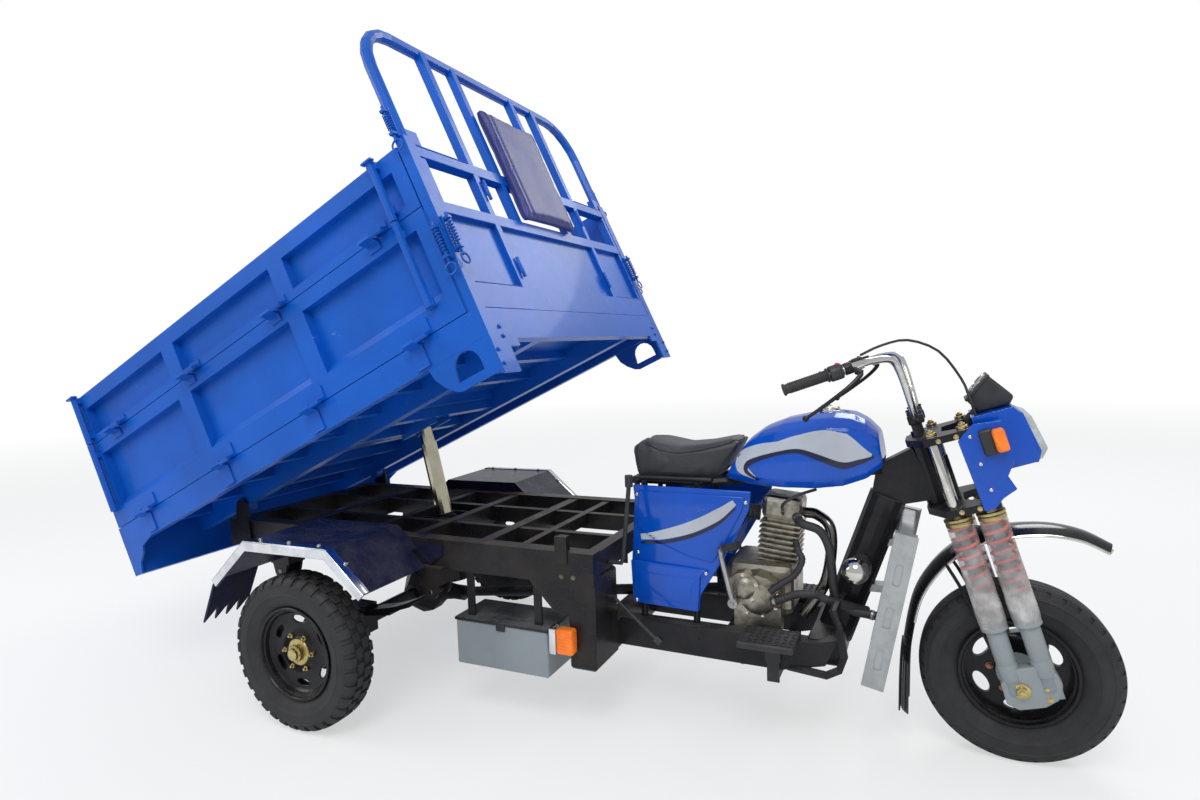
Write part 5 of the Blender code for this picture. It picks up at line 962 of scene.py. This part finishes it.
def make_tank_top():
    """The fuel cap with its lid and flap."""
    lean = Matrix.Rotation(math.radians(8), 4, "Y")
    place = VEHICLE @ Matrix.Translation((1.735, 0, 1.088)) @ lean
    cap = bar((0, 0, -0.004), (0, 0, 0.01), 0.04, 48, 0.003)
    lid = bar((0, 0, 0.009), (0, 0, 0.02), 0.034, 48, 0.004, 0.03)
    flap = block((-0.01, -0.004, 0.018), (0.028, 0.004, 0.023), 0.002)
    settle(together([cap, lid, flap]), "tank_cap", "chrome", "chassis", place)


# Headlamp, instrument and handlebar

def make_headlamp():
    """The blue cowl with its frame, the ribbed lens and the turn lamps."""
    cowl = smooth_copy("headlamp_housing", 0.0035, 5)
    settle(cowl, "headlamp_cowl", "gloss_blue", "steering", WORLD, stands_for=["headlamp_housing"], smooth=60)
    frame_outline = [(0.286, -0.0305), (0.2985, -0.0335), (0.315, -0.004), (0.301, 0.116), (0.296, 0.1235),
                     (0.284, 0.121)]
    window = [(0.27, -0.0225), (0.31, -0.0235), (0.35, -0.004), (0.33, 0.113), (0.27, 0.1165)]
    outer = plate(frame_outline, -0.112, 0.112, 0.004, 3)
    cut_by(outer, [plate(window, -0.1035, 0.1035, 0.006, 3)])
    settle(outer, "headlamp_frame", "gloss_blue", "steering")
    bowl = plate([(0.29, -0.026), (0.311, -0.027), (0.333, 0), (0.319, 0.104), (0.3, 0.118),
                  (0.288, 0.115)], -0.108, 0.108, 0.009, 4)
    settle(bowl, "headlamp_glass", "lamp_glass", "steering", stands_for=["headlamp_lens"])
    ribs = [bar((0.3268, number * 0.013 - 0.091, -0.004), (0.313, number * 0.013 - 0.091, 0.098), 0.0055, 12, 0.002)
            for number in range(15)]
    settle(together(ribs), "headlamp_ribs", "lamp_glass", "steering")
    base = block((0.17, -0.199, 0.03), (0.208, -0.1785, 0.108), 0.008, 3)
    lens = block((0.203, -0.215, 0.034), (0.237, -0.18, 0.104), 0.01, 4)
    stem = bar((0.19, -0.15, 0.068), (0.19, -0.182, 0.068), 0.011, 20, 0.002)
    settle_pair(together([base, stem]), "turn_lamp_base", "black_plastic", "steering")
    settle_pair(lens, "turn_lamp", "orange_lens", "steering")
    screws = [screw((f, -0.1782, s), (0, -1, 0), 0.0062)
              for f, s in ((0.1476, 0.0958), (0.1516, 0.0112), (0.156, -0.0683))]
    settle_pair(together(screws), "headlamp_screws", "chrome", "steering")


def make_instrument():
    """The wedge-shaped instrument pod with its dial facing the rider."""
    pod = plate([(0.169, 0.19), (0.245, 0.249), (0.296, 0.166), (0.278, 0.145), (0.19, 0.145)], -0.066, 0.066,
                0.009, 4)
    hood = plate([(0.164, 0.192), (0.17, 0.185), (0.252, 0.244), (0.246, 0.252)], -0.07, 0.07, 0.003, 2)
    stalk = bar((0.15, 0, 0.122), (0.205, 0, 0.16), 0.012, 20)
    settle(together([pod, hood, stalk]), "instrument_case", "black_plastic", "steering",
           stands_for=["instrument"])
    place = STEERING @ Matrix.Translation((0.2065, 0, 0.2215)) @ Matrix.Rotation(math.radians(-37.8), 4, "Y")
    dial = bar((0, 0, -0.004), (0, 0, 0.0035), 0.04, 64, 0.001)
    settle(dial, "instrument_dial", "clear_lens", "steering", place)
    ring = lathe([(0.04, 0), (0.0435, 0), (0.0435, 0.005), (0.0415, 0.007), (0.0395, 0.0045)], 64, looped=True)
    settle(ring, "instrument_ring", "chrome", "steering", place @ Matrix.Rotation(math.pi / 2, 4, "X"))


BAR_HALF = [(0.018, 0, 0.176), (0.018, -0.07, 0.176), (0.02, -0.11, 0.215), (0.022, -0.165, 0.33),
            (0.01, -0.205, 0.378), (-0.035, -0.255, 0.392), (-0.088, -0.3, 0.393), (-0.28, -0.372, 0.388)]


def make_handlebar():
    """The chromed bar, its clamps, the ringed grips, switch boxes and hand levers."""
    right = curve_points(BAR_HALF, 8)
    left = [Vector((p.x, -p.y, p.z)) for p in right]
    settle(pipe(list(reversed(right)) + left[1:], 0.0112, 4), "bar_tube", "chrome", "steering",
           stands_for=["handlebar"])
    brace = pipe(curve_points([(0.0215, -0.128, 0.262), (0.03, -0.07, 0.268), (0.032, 0, 0.269),
                               (0.03, 0.07, 0.268), (0.0215, 0.128, 0.262)], 5), 0.0065, 3)
    settle(brace, "bar_brace", "chrome", "steering")
    blocks = []
    for sign in (-1, 1):
        low, high = sorted((sign * 0.04, sign * 0.074))
        blocks.append(block((-0.008, low, 0.16), (0.04, high, 0.19), 0.005, 3))
        blocks.append(block((-0.006, low + 0.002, 0.186), (0.038, high - 0.002, 0.204), 0.006, 3))
        for f in (-0.001, 0.034):
            blocks.append(bolt((f, sign * 0.057, 0.203), (0, 0, 1), 0.0055, 0.006))
    settle(together(blocks), "bar_clamps", "black_paint", "steering")
    inner, outer = Vector(BAR_HALF[-2]), Vector(BAR_HALF[-1])
    along = (outer - inner).normalized()
    grip = [bar(inner + along * 0.074, outer + along * 0.004, 0.015, 32, 0.002)]
    for number in range(22):
        start = inner + along * (0.082 + number * 0.0052)
        grip.append(bar(start, start + along * 0.003, 0.0168, 28, 0.0008))
    grip.append(bar(inner + along * 0.074, inner + along * 0.079, 0.0215, 32, 0.0015))
    grip.append(bar(outer + along * 0.0, outer + along * 0.0065, 0.0185, 32, 0.002))
    settle_pair(together(grip), "hand_grip", "black_rubber", "steering")
    across = along.cross(Vector((0, 0, 1))).normalized()
    box_parts = [bar(inner + along * 0.032, inner + along * 0.071, 0.0235, 32, 0.004)]
    box_parts.append(bar(inner + along * 0.05, inner + along * 0.0515, 0.0241, 32, 0.0005))
    settle_pair(together(box_parts), "switch_box", "black_plastic", "steering")
    up = Vector((0.15, 0, 1)).normalized()
    spot = inner + along * 0.046 - across * 0.004
    button = bar(spot + up * 0.02, spot + up * 0.027, 0.0055, 20)
    settle_pair(button, "switch_button", "red_button", "steering")
    perch = inner + along * 0.015
    holder = [bar(perch - along * 0.011, perch + along * 0.011, 0.0182, 28, 0.002)]
    holder.append(bar(perch + Vector((0.01, 0, -0.004)), perch + Vector((0.036, -0.012, -0.024)), 0.0085, 20, 0.002))
    route = [perch + Vector((0.02, -0.006, -0.016)), perch + Vector((0.03, -0.012, -0.028)),
             perch + along * 0.05 + Vector((0.035, -0.02, -0.052)),
             perch + along * 0.12 + Vector((0.02, -0.012, -0.082)),
             perch + along * 0.165 + Vector((0.006, -0.004, -0.1))]
    route = curve_points(route, 8)
    widths = [1.15 - 0.45 * number / (len(route) - 1) for number in range(len(route))]
    holder.append(pipe(route, 0.0072, 3, widths))
    rest()
    bpy.ops.mesh.primitive_uv_sphere_add(segments=20, ring_count=12, radius=0.0098, location=route[-1])
    holder.append(bpy.context.active_object)
    settle_pair(together(holder), "hand_lever", "black_paint", "steering")


THROTTLE_ROUTE = [(-0.06, -0.275, 0.419), (0, -0.235, 0.428), (0.07, -0.15, 0.42), (0.14, -0.085, 0.36),
                  (0.175, -0.06, 0.26), (0.18, -0.09, 0.2), (0.18, -0.095, 0.1436)]


def make_throttle_cable():
    """The cable's route from the switch box to the cowl, as the CAD model has it."""
    points = curve_points(THROTTLE_ROUTE, 3)
    cable = pipe(points, 0.004, 3)
    settle(cable, "throttle_cable_sheath", "black_rubber", "steering", stands_for=["throttle_cable"])
    route = [STEERING @ point for point in points]
    length = sum((b - a).length for a, b in zip(route, route[1:]))
    tuple(route[0])
    [tuple(point) for point in route]


# Pads

PAD_VOXEL = 0.006
SEAM_STEPS = 60
CLOTH_FRAMES = 20
CLOTH = {"quality": 4, "mass": 0.3, "tension_stiffness": 20, "compression_stiffness": 20, "use_pressure": True,
         "uniform_pressure_force": 4}


def puffed(node, shrink, cap):
    """A padded form: a slightly smaller copy of a solid, swelled as cloth by a capped amount."""
    pad = smooth_copy(node, PAD_VOXEL, 4, -shrink)
    start = [vertex.co.copy() for vertex in pad.data.vertices]
    pick(pad)
    cloth = pad.modifiers.new("cloth", "CLOTH")
    for label, value in CLOTH.items():
        setattr(cloth.settings, label, value)
    cloth.settings.effector_weights.gravity = 0
    cloth.point_cache.frame_start = 1
    cloth.point_cache.frame_end = CLOTH_FRAMES
    for number in range(CLOTH_FRAMES):
        bpy.context.scene.frame_set(number + 1)
    swelled = pad.evaluated_get(bpy.context.evaluated_depsgraph_get()).data
    moves = [vertex.co - old for vertex, old in zip(swelled.vertices, start)]
    pad.modifiers.clear()
    bpy.context.scene.frame_set(1)
    for vertex, old, move in zip(pad.data.vertices, start, moves):
        vertex.co = old + move * (cap / max(move.length, cap))
    change(pad, "SMOOTH", factor=0.5, iterations=6)
    return change(pad, "SUBSURF", levels=1, render_levels=1)


def sink_line(pad, points, depth, width):
    """Press a sewn line into a pad along points."""
    line = KDTree(len(points))
    for number, point in enumerate(points):
        line.insert(point, number)
    line.balance()
    ways = [vertex.normal.copy() for vertex in pad.data.vertices]
    for vertex, way in zip(pad.data.vertices, ways):
        near = line.find(vertex.co)[2]
        if near < width:
            share = 0.5 + 0.5 * math.cos(math.pi * near / width)
            vertex.co -= way * depth * share


def make_seat():
    """The saddle with a sewn line and piping round its top panel."""
    seat = puffed("seat", 0.004, 0.008)
    half = [(1.085, 0), (1.088, 0.06), (1.1, 0.095), (1.14, 0.112), (1.2, 0.115), (1.27, 0.11), (1.33, 0.1),
            (1.39, 0.086), (1.425, 0.06), (1.432, 0)]
    rim = half + [(x, -y) for x, y in reversed(half[1:-1])] + half[:1]
    bpy.context.view_layer.update()
    hits = [seat.ray_cast(Vector((AXLE_X + spot.x, spot.y, 3)), Vector((0, 0, -1)))
            for spot in curve_points([(x, y, 0) for x, y in rim])]
    line = [spot for hit, spot, way, face in hits if hit]
    sink_line(seat, line, 0.003, 0.012)
    bpy.context.view_layer.update()
    seat.data.update()
    piping = pipe([spot + Vector((0, 0, -0.0012)) for spot in line], 0.0026, 2)
    settle(piping, "seat_piping", "black_vinyl", "chassis", WORLD, smooth=60)
    settle(seat, "seat_pad", "seat_vinyl", "chassis", WORLD, ["seat"], smooth=80)
    base = block((1.078, -0.118, 0.846), (1.352, 0.118, 0.862), 0.006, 3)
    settle(base, "seat_base", "black_plastic", "chassis")


def make_backrest():
    """The driver's back pad with a sewn channel along each edge."""
    pad = puffed("backrest_pad", 0.006, 0.012)
    for y in (0.155, -0.155):
        spots = [BED @ Vector((2.003, y, 0.6 + 0.42 * step / SEAM_STEPS)) for step in range(SEAM_STEPS + 1)]
        sink_line(pad, spots, 0.006, 0.018)
    settle(pad, "backrest", "navy_vinyl", "bed", WORLD, ["backrest_pad"], smooth=80)


COVER = [(1.085, 0.84), (1.505, 0.838), (1.498, 0.775), (1.44, 0.655), (1.375, 0.545), (1.325, 0.465),
         (1.32, 0.41), (1.08, 0.418), (1.074, 0.575), (1.09, 0.79)]


def make_side_covers():
    """Glossy covers with a raised field, a shelf, a silver sweep and four screws."""
    sheet = plate(COVER, -0.19, -0.178, 0.005, 3)
    field = plate([(1.108, 0.822), (1.486, 0.82), (1.476, 0.772), (1.42, 0.662), (1.372, 0.585), (1.29, 0.6),
                   (1.18, 0.64), (1.1, 0.69)], -0.1965, -0.186, 0.006, 3)
    shelf = plate([(1.073, 0.572), (1.355, 0.56), (1.33, 0.535), (1.319, 0.409), (1.079, 0.417)], -0.202, -0.186,
                  0.007, 3)
    foot = plate([(1.1, 0.535), (1.318, 0.525), (1.3, 0.505), (1.292, 0.435), (1.104, 0.44)], -0.2045, -0.198,
                 0.005, 3)
    cover = together([sheet, field, shelf, foot])
    sweep = ribbon([(1.112, 0.655, 0.01), (1.2, 0.672, 0.017), (1.3, 0.705, 0.02), (1.39, 0.752, 0.019),
                    (1.452, 0.8, 0.01)], cover, 0.0008, -1)
    edge = ribbon([(1.112, 0.634, 0.004), (1.2, 0.645, 0.006), (1.3, 0.675, 0.007), (1.39, 0.722, 0.006),
                   (1.455, 0.78, 0.003)], cover, 0.001, -1)
    settle_pair(sweep, "cover_sweep", "silver_film", "chassis")
    settle_pair(edge, "cover_sweep_edge", "dark_film", "chassis")
    screws = [screw((x, y, z), (0, -1, 0), 0.0075) for x, z, y in
              ((1.1, 0.806, -0.19), (1.488, 0.8, -0.1905), (1.098, 0.598, -0.19), (1.35, 0.549, -0.201),
               (1.092, 0.428, -0.201))]
    settle_pair(together(screws), "cover_screws", "chrome", "chassis")
    settle_pair(cover, "cover_panel", "gloss_blue", "chassis", node="side_cover")


ARCH = [(-0.338, -0.1775, 0.066), (-0.335, -0.0325, 0.07), (-0.325, 0.0875, 0.074), (-0.298, 0.2175, 0.077),
        (-0.248, 0.3125, 0.078), (-0.188, 0.3795, 0.078), (-0.113, 0.4325, 0.077), (-0.023, 0.4595, 0.074),
        (0.077, 0.4695, 0.067), (0.167, 0.4555, 0.056), (0.242, 0.4195, 0.036)]
BLADE_ROWS = 12


def make_front_mudguard():
    """A crowned blade over the front wheel with a chromed edge, a stay and a rubber flap."""
    spine = curve_points([(x, 0, z) for x, z, half in ARCH], 5)
    halves = [spot.y for spot in curve_points([(x, half, z) for x, z, half in ARCH], 5)]
    rims = {0: [], BLADE_ROWS: []}

    def spot_of(row, column):
        share = row / BLADE_ROWS * 2 - 1
        drop = across_way(spine, column) * 0.024 * abs(share) ** 2.4
        spot = spine[column] - drop + Vector((0, halves[column] * share, 0))
        if row in rims:
            rims[row].append(spot)
        return spot

    blade = change(sheet(len(spine), BLADE_ROWS, spot_of), "SOLIDIFY", thickness=0.003, offset=-1)
    place = VEHICLE @ Matrix.Translation((2.293, 0, WHEEL_RADIUS))
    settle(blade, "front_blade", "fender_black", "steering", place, ["front_mudguard"], smooth=50)
    low, high = rims.values()
    tip = (low[-1] + high[-1]) / 2 + Vector((0.012, 0, 0.001))
    settle(pipe(low[12:] + [tip] + high[:11:-1], 0.0042, 2), "front_blade_edge", "chrome", "steering", place)
    ribs = [pipe([spot + Vector((-0.002, -0.048 + number * 0.016, 0)) for spot in spine[:9]], 0.0028, 2)
            for number in range(7)]
    settle(together(ribs), "front_flap_ribs", "black_rubber", "steering", place)
    stays = [pipe(curve_points([(-0.205, sign * 0.077, 0.34), (-0.15, sign * 0.1, 0.25),
                                (-0.06, sign * 0.118, 0.06), (-0.01, sign * 0.12, 0.01)], 4), 0.0055, 2)
             for sign in (-1, 1)]
    settle(together(stays), "front_blade_stays", "black_paint", "steering", place)
    post = bar((-0.142, 0, 0.435), (-0.215, 0, 0.668), 0.016, 24)
    foot = block((-0.175, -0.04, 0.428), (-0.09, 0.04, 0.44), 0.003)
    settle(together([post, foot]), "front_blade_post", "black_paint", "steering", place)


# Engine and radiator

COVER_BOLTS = ((1.515, -0.15, 0.47, 0.069, 8), (1.47, -0.168, 0.5, 0.046, 5), (1.475, 0.15, 0.485, 0.064, 7))


def hose(points, radius, ridge=0):
    """A rubber hose, ribbed all along where a ridge is given."""
    route = curve_points(points, 10 if ridge else 5)
    widths = None
    if ridge:
        widths = [1 + (ridge if number % 2 else 0) for number in range(len(route))]
    return pipe(route, radius, 4, widths)


def make_engine_details():
    """Bolts and domes of the covers, hoses with clamps, the spark plug and the kick starter."""
    heads = [bolt((centre_x + x, y, centre_z + z), (0, y, 0), 0.0052, 0.006)
             for centre_x, y, centre_z, radius, count in COVER_BOLTS for x, z in circle(count, radius, 0.3)]
    settle(together(heads), "engine_bolts", "chrome", "chassis")
    domes = [lathe([(0, -0.016), (0.02, -0.0155), (0.04, -0.012), (0.055, -0.005), (0.062, 0), (0, 0)], 64),
             lathe([(0, -0.012), (0.018, -0.0118), (0.03, -0.008), (0.038, 0), (0, 0)], 64)]
    domes[0].matrix_world = Matrix.Translation((1.515, -0.15, 0.47))
    domes[1].matrix_world = Matrix.Translation((1.47, -0.168, 0.5))
    settle(together(domes), "engine_covers", "engine_metal", "chassis")
    for name, route, radius, ridge in (
            ("radiator_hose", [(1.63, -0.066, 0.735), (1.657, -0.105, 0.722), (1.712, -0.105, 0.703),
                               (1.741, -0.105, 0.652), (1.75, -0.105, 0.583), (1.761, -0.105, 0.484),
                               (1.805, -0.102, 0.446), (1.889, -0.09, 0.43)], 0.0145, 0),
            ("air_hose", [(1.5, -0.02, 0.73), (1.43, -0.03, 0.735), (1.36, -0.04, 0.72),
                          (1.3, -0.04, 0.7)], 0.026, 0.13),
            ("breather_hose", [(1.635, -0.1, 0.655), (1.647, -0.135, 0.638), (1.661, -0.14, 0.608),
                               (1.638, -0.15, 0.559), (1.598, -0.164, 0.53), (1.56, -0.178, 0.5)], 0.01, 0.16),
            ("cooler_hose", [(1.86, -0.075, 0.44), (1.8, -0.11, 0.462), (1.742, -0.15, 0.487),
                             (1.706, -0.15, 0.5), (1.647, -0.16, 0.498), (1.6, -0.172, 0.48),
                             (1.565, -0.168, 0.462)], 0.0125, 0.16)):
        settle(hose(route, radius, ridge), name, "black_rubber", "chassis")
    clamps = [bar((1.634, -0.074, 0.7335), (1.641, -0.084, 0.73), 0.0165, 28, 0.001),
              bar((1.868, -0.0925, 0.4335), (1.879, -0.0912, 0.4315), 0.0165, 28, 0.001),
              bar((1.572, -0.1715, 0.4655), (1.581, -0.1725, 0.47), 0.015, 28, 0.001)]
    settle(together(clamps), "hose_clamps", "bare_steel", "chassis")
    plug = [bar((1.588, -0.072, 0.742), (1.592, -0.1, 0.762), 0.0075, 6, 0.001),
            bar((1.592, -0.098, 0.76), (1.596, -0.124, 0.778), 0.006, 20, 0.001)]
    settle(together(plug), "spark_plug", "chrome", "chassis")
    boot = pipe(curve_points([(1.594, -0.112, 0.77), (1.598, -0.134, 0.784), (1.61, -0.138, 0.8),
                              (1.65, -0.12, 0.822), (1.7, -0.085, 0.836)], 5), 0.005)
    settle(boot, "spark_lead", "black_rubber", "chassis")
    pedal = pipe(curve_points([(1.42, -0.222, 0.65), (1.44, -0.232, 0.658), (1.478, -0.249, 0.671)], 5), 0.0135, 3)
    settle(pedal, "kick_pedal", "black_rubber", "chassis")
    crank = pipe(curve_points([(1.44, -0.192, 0.455), (1.425, -0.205, 0.53), (1.405, -0.212, 0.635),
                               (1.425, -0.225, 0.652), (1.47, -0.245, 0.668)], 6), 0.0095, 4)
    boss = bar((1.44, -0.165, 0.455), (1.44, -0.204, 0.455), 0.017, 32, 0.002)
    settle(together([crank, boss, bolt((1.44, -0.203, 0.455), (0, -1, 0), 0.008, 0.008)]), "kick_lever", "bare_steel",
           "chassis")


def make_exhaust():
    """The header pipe."""
    route = [(1.65, 0, 0.736), (1.69, -0.005, 0.732), (1.735, -0.03, 0.7), (1.742, -0.05, 0.62),
             (1.725, -0.07, 0.52), (1.68, -0.078, 0.44), (1.655, -0.078, 0.4)]
    header = pipe(curve_points(route, 8), 0.0185, 5)
    settle(header, "exhaust_pipe", "dark_chrome", "chassis")


def make_radiator():
    """The core's tubes, the slotted side plates and the chromed domes beside them."""
    lean = math.radians(11.6)
    place = VEHICLE @ Matrix.Translation((1.858, 0, 0.245)) @ Matrix.Rotation(lean, 4, "Y")
    tubes = [block((0.036, -0.168, 0.02 + number * 0.02), (0.0455, 0.168, 0.0228 + number * 0.02), 0.0008, 1)
             for number in range(24)]
    settle(together(tubes), "radiator_tubes", "dark_steel", "chassis", place)
    plates = []
    for sign in (-1, 1):
        low, high = sorted((sign * 0.2005, sign * 0.2045))
        side = plate([(-0.01, -0.004), (0.058, -0.004), (0.058, 0.504), (-0.01, 0.504)], low, high, 0.0015)
        plates.append(cut_by(side, [
            plate([(0.012, s), (0.036, s), (0.036, s + 0.07), (0.012, s + 0.07)], low - 0.01, high + 0.01, 0.008, 3)
            for s in (0.06, 0.2, 0.34)]))
    settle(together(plates), "radiator_sides", "radiator_metal", "chassis", place)
    dome = lathe([(0, -0.046), (0.014, -0.045), (0.028, -0.038), (0.038, -0.026), (0.0425, -0.01), (0.0425, 0),
                  (0.036, 0.002), (0.036, 0.018), (0, 0.018)], 64)
    dome.matrix_world = Matrix.Translation((1.827, -0.135, 0.588))
    settle_pair(dome, "cap_dome", "chrome", "chassis")


def make_pegs():
    """Foot plates with a tread of slanted studs."""
    studs = []
    for sign in (-1, 1):
        stud = block((-0.0075, -0.0022, 0), (0.0075, 0.0022, 0.0032), 0.001, 1)
        for column in range(8):
            for row in range(6):
                place = Matrix.Translation((1.492 + column * 0.0222, sign * 0.245 - 0.062 + row * 0.0248, 0.377))
                turn = math.pi / 4 if (column + row) % 2 else -math.pi / 4
                studs.append(twin(stud, place @ Matrix.Rotation(turn, 4, "Z")))
        discard(stud)
    settle(together(studs), "foot_tread", "black_rubber", "chassis")


# Bed and chassis fittings

HINGE_U = (0.235, 0.74, 1.24, 1.735)
LATCH_SPOTS = ((1.947, -0.7288, 0), (1.945, -0.729, 0), (1.9665, -0.706, 0.02))


def make_latch(foot_w, head_w):
    """A spring latch for a post: its plate, guides, rod, coil and pull ring, along W at the origin's side."""
    parts = [block((-0.013, -0.004, foot_w), (0.013, 0, head_w), 0.0012, 1)]
    parts += [block((-0.01, -0.024, w - 0.005), (0.01, -0.002, w + 0.005), 0.0015, 1)
              for w in (foot_w + 0.01, head_w - 0.012)]
    parts.append(bar((0, -0.014, foot_w - 0.018), (0, -0.014, head_w + 0.006), 0.0048, 16, 0.0008))
    parts.append(coil((0, -0.014, foot_w + 0.01), (0, -0.014, head_w - 0.012), 0.0092, 0.0019, 7))
    ring = [(0.02 * math.cos(math.radians(step)), -0.017, foot_w - 0.03 + 0.017 * math.sin(math.radians(step)))
            for step in range(0, 361, 24)]
    parts.append(pipe(ring, 0.0032, 2))
    return together(parts)


def make_bed_fittings():
    """Spring latches, stop pins, bolts and weld beads of the raised bed."""
    low = make_latch(0.38, 0.5)
    high = make_latch(0.8, 0.9)
    parts = [twin(item, Matrix.Translation(spot) @ Matrix.Rotation(turn, 4, "Z"))
             for item, spot, turn in zip((low, high, low), LATCH_SPOTS, (0, 0, math.pi / 2))]
    discard(low, high)
    parts += [bolt((1.9655, y, w), (1, 0, 0), 0.0065, 0.006)
              for y, w in ((-0.713, 0.03), (-0.713, 0.075), (-0.655, 0.118), (-0.655, 0.15))]
    for w in (0.34, 0.64):
        parts.append(bar((1.9705, -0.36, w), (1.9705, -0.36, w + 0.075), 0.0062, 16, 0.001))
        parts.append(block((1.964, -0.372, w + 0.016), (1.972, -0.362, w + 0.058), 0.0015, 1))
    settle_pair(together(parts), "bed_latches", "blue_paint", "bed")
    beads = [bar((u - 0.052, -0.7345, 0.135), (u + 0.002, -0.7345, 0.135), 0.0026, 8, 0.0008) for u in HINGE_U]
    beads.append(bar((1.93, -0.7295, 0.215), (1.93, -0.7295, 0.56), 0.0016, 8, 0.0005))
    beads += [bar((1.9655, -0.68, w), (1.9655, -0.4, w), 0.0016, 8, 0.0005)
              for w in (0.215, 0.302, 0.54, 0.735, 0.775)]
    settle_pair(together(beads), "bed_welds", "blue_paint", "bed")
    for side, sign in (("right", -1), ("left", 1)):
        knobs = []
        for u in (0.042, 1.825):
            knobs.append(bar((u, sign * 0.7446, 0.776), (u, sign * 0.7446, 0.79), 0.015, 6, 0.002))
            knobs.append(block((u - 0.022, sign * 0.7546 - 0.01, 0.779), (u + 0.022, sign * 0.7546 + 0.01, 0.787),
                               0.002, 1))
        settle(together(knobs), "rod_knobs_" + side, "blue_paint", "side_upper_" + side)


GUARD_LINE = [(-0.35, 0.521), (-0.173, 0.683), (0.217, 0.687), (0.372, 0.552)]


def make_guard_strips():
    """The bright angle strip along each rear mudguard with its screws."""
    under = [(-0.33, 0.502), (-0.166, 0.65), (0.207, 0.654), (0.351, 0.53)]
    skirt = plate(GUARD_LINE + list(reversed(under)), -0.7838, -0.7803, 0.0008, 1)
    over = [(x, z + 0.0032) for x, z in GUARD_LINE]
    cap = plate(over + list(reversed([(x, z + 0.0004) for x, z in GUARD_LINE])), -0.7838, -0.752, 0.0005, 1)
    settle_pair(together([skirt, cap]), "guard_strip", "bright_strip", "chassis")
    heads = []
    for x, z in ((-0.3, 0.5695), (-0.215, 0.6475), (-0.12, 0.687), (0.02, 0.6885), (0.16, 0.6895),
                 (0.275, 0.6395)):
        slope = Vector((0, 0, 1)) if -0.173 < x < 0.217 else Vector((-0.66 if x < 0 else 0.66, 0, 0.75))
        heads.append(bolt((x, -0.752, z), slope, 0.006, 0.007))
    settle_pair(together(heads), "guard_screws", "chrome", "chassis")


def make_chassis_fittings():
    """The tool box lid, the marker lamps with their pale bases, and bolts on the rails."""
    lid = block((0.461, -0.424, 0.353), (0.849, -0.226, 0.364), 0.002)
    catch = block((0.64, -0.427, 0.335), (0.675, -0.42, 0.356), 0.0015)
    settle(together([lid, catch]), "tool_box_lid", "speckled_black", "chassis")
    base = block((0.876, -0.466, 0.302), (0.902, -0.4205, 0.392), 0.004)
    settle_pair(base, "marker_base", "bright_strip", "chassis")
    lens = [block((0.901, -0.464, 0.303), (0.964, -0.4208, 0.391), 0.01, 3)]
    lens += [block((0.912, -0.4658, 0.313 + number * 0.0112), (0.9655, -0.43, 0.318 + number * 0.0112), 0.0015, 1)
             for number in range(7)]
    settle_pair(together(lens), "marker_lens", "orange_lens", "chassis", node="marker_lamp")
    heads = [bolt((x, -0.4445, 0.455), (0, -1, 0), 0.011, 0.01) for x in (0.38, -0.38)]
    heads += [bolt((x, -0.4202, z), (0, -1, 0), 0.007, 0.006) for x in (0.91, 0.955) for z in (0.345, 0.56)]
    settle_pair(together(heads), "chassis_bolts", "dark_chrome", "chassis")


def dress_nodes():
    """Give every solid that is shown as it is its finish."""
    for part in frame["record"]["subparts"]:
        node = frame["nodes"][part["node"]]
        finish = FINISH[NODE_FINISH.get(part["node"], part["material_slot"])]
        if not node.data.materials:
            node.data.materials.append(finish)
        for number in range(len(node.material_slots)):
            node.material_slots[number].material = finish


pale_world()
aim_camera()
lay_floor()
hang_lamps()
dress_nodes()
make_throttle_cable()
make_wheels()
make_springs()
make_fork_trim()
make_tank()
make_tank_top()
make_headlamp()
make_instrument()
make_handlebar()
make_seat()
make_backrest()
make_side_covers()
make_front_mudguard()
make_engine_details()
make_exhaust()
make_radiator()
make_pegs()
make_bed_fittings()
make_guard_strips()
make_chassis_fittings()
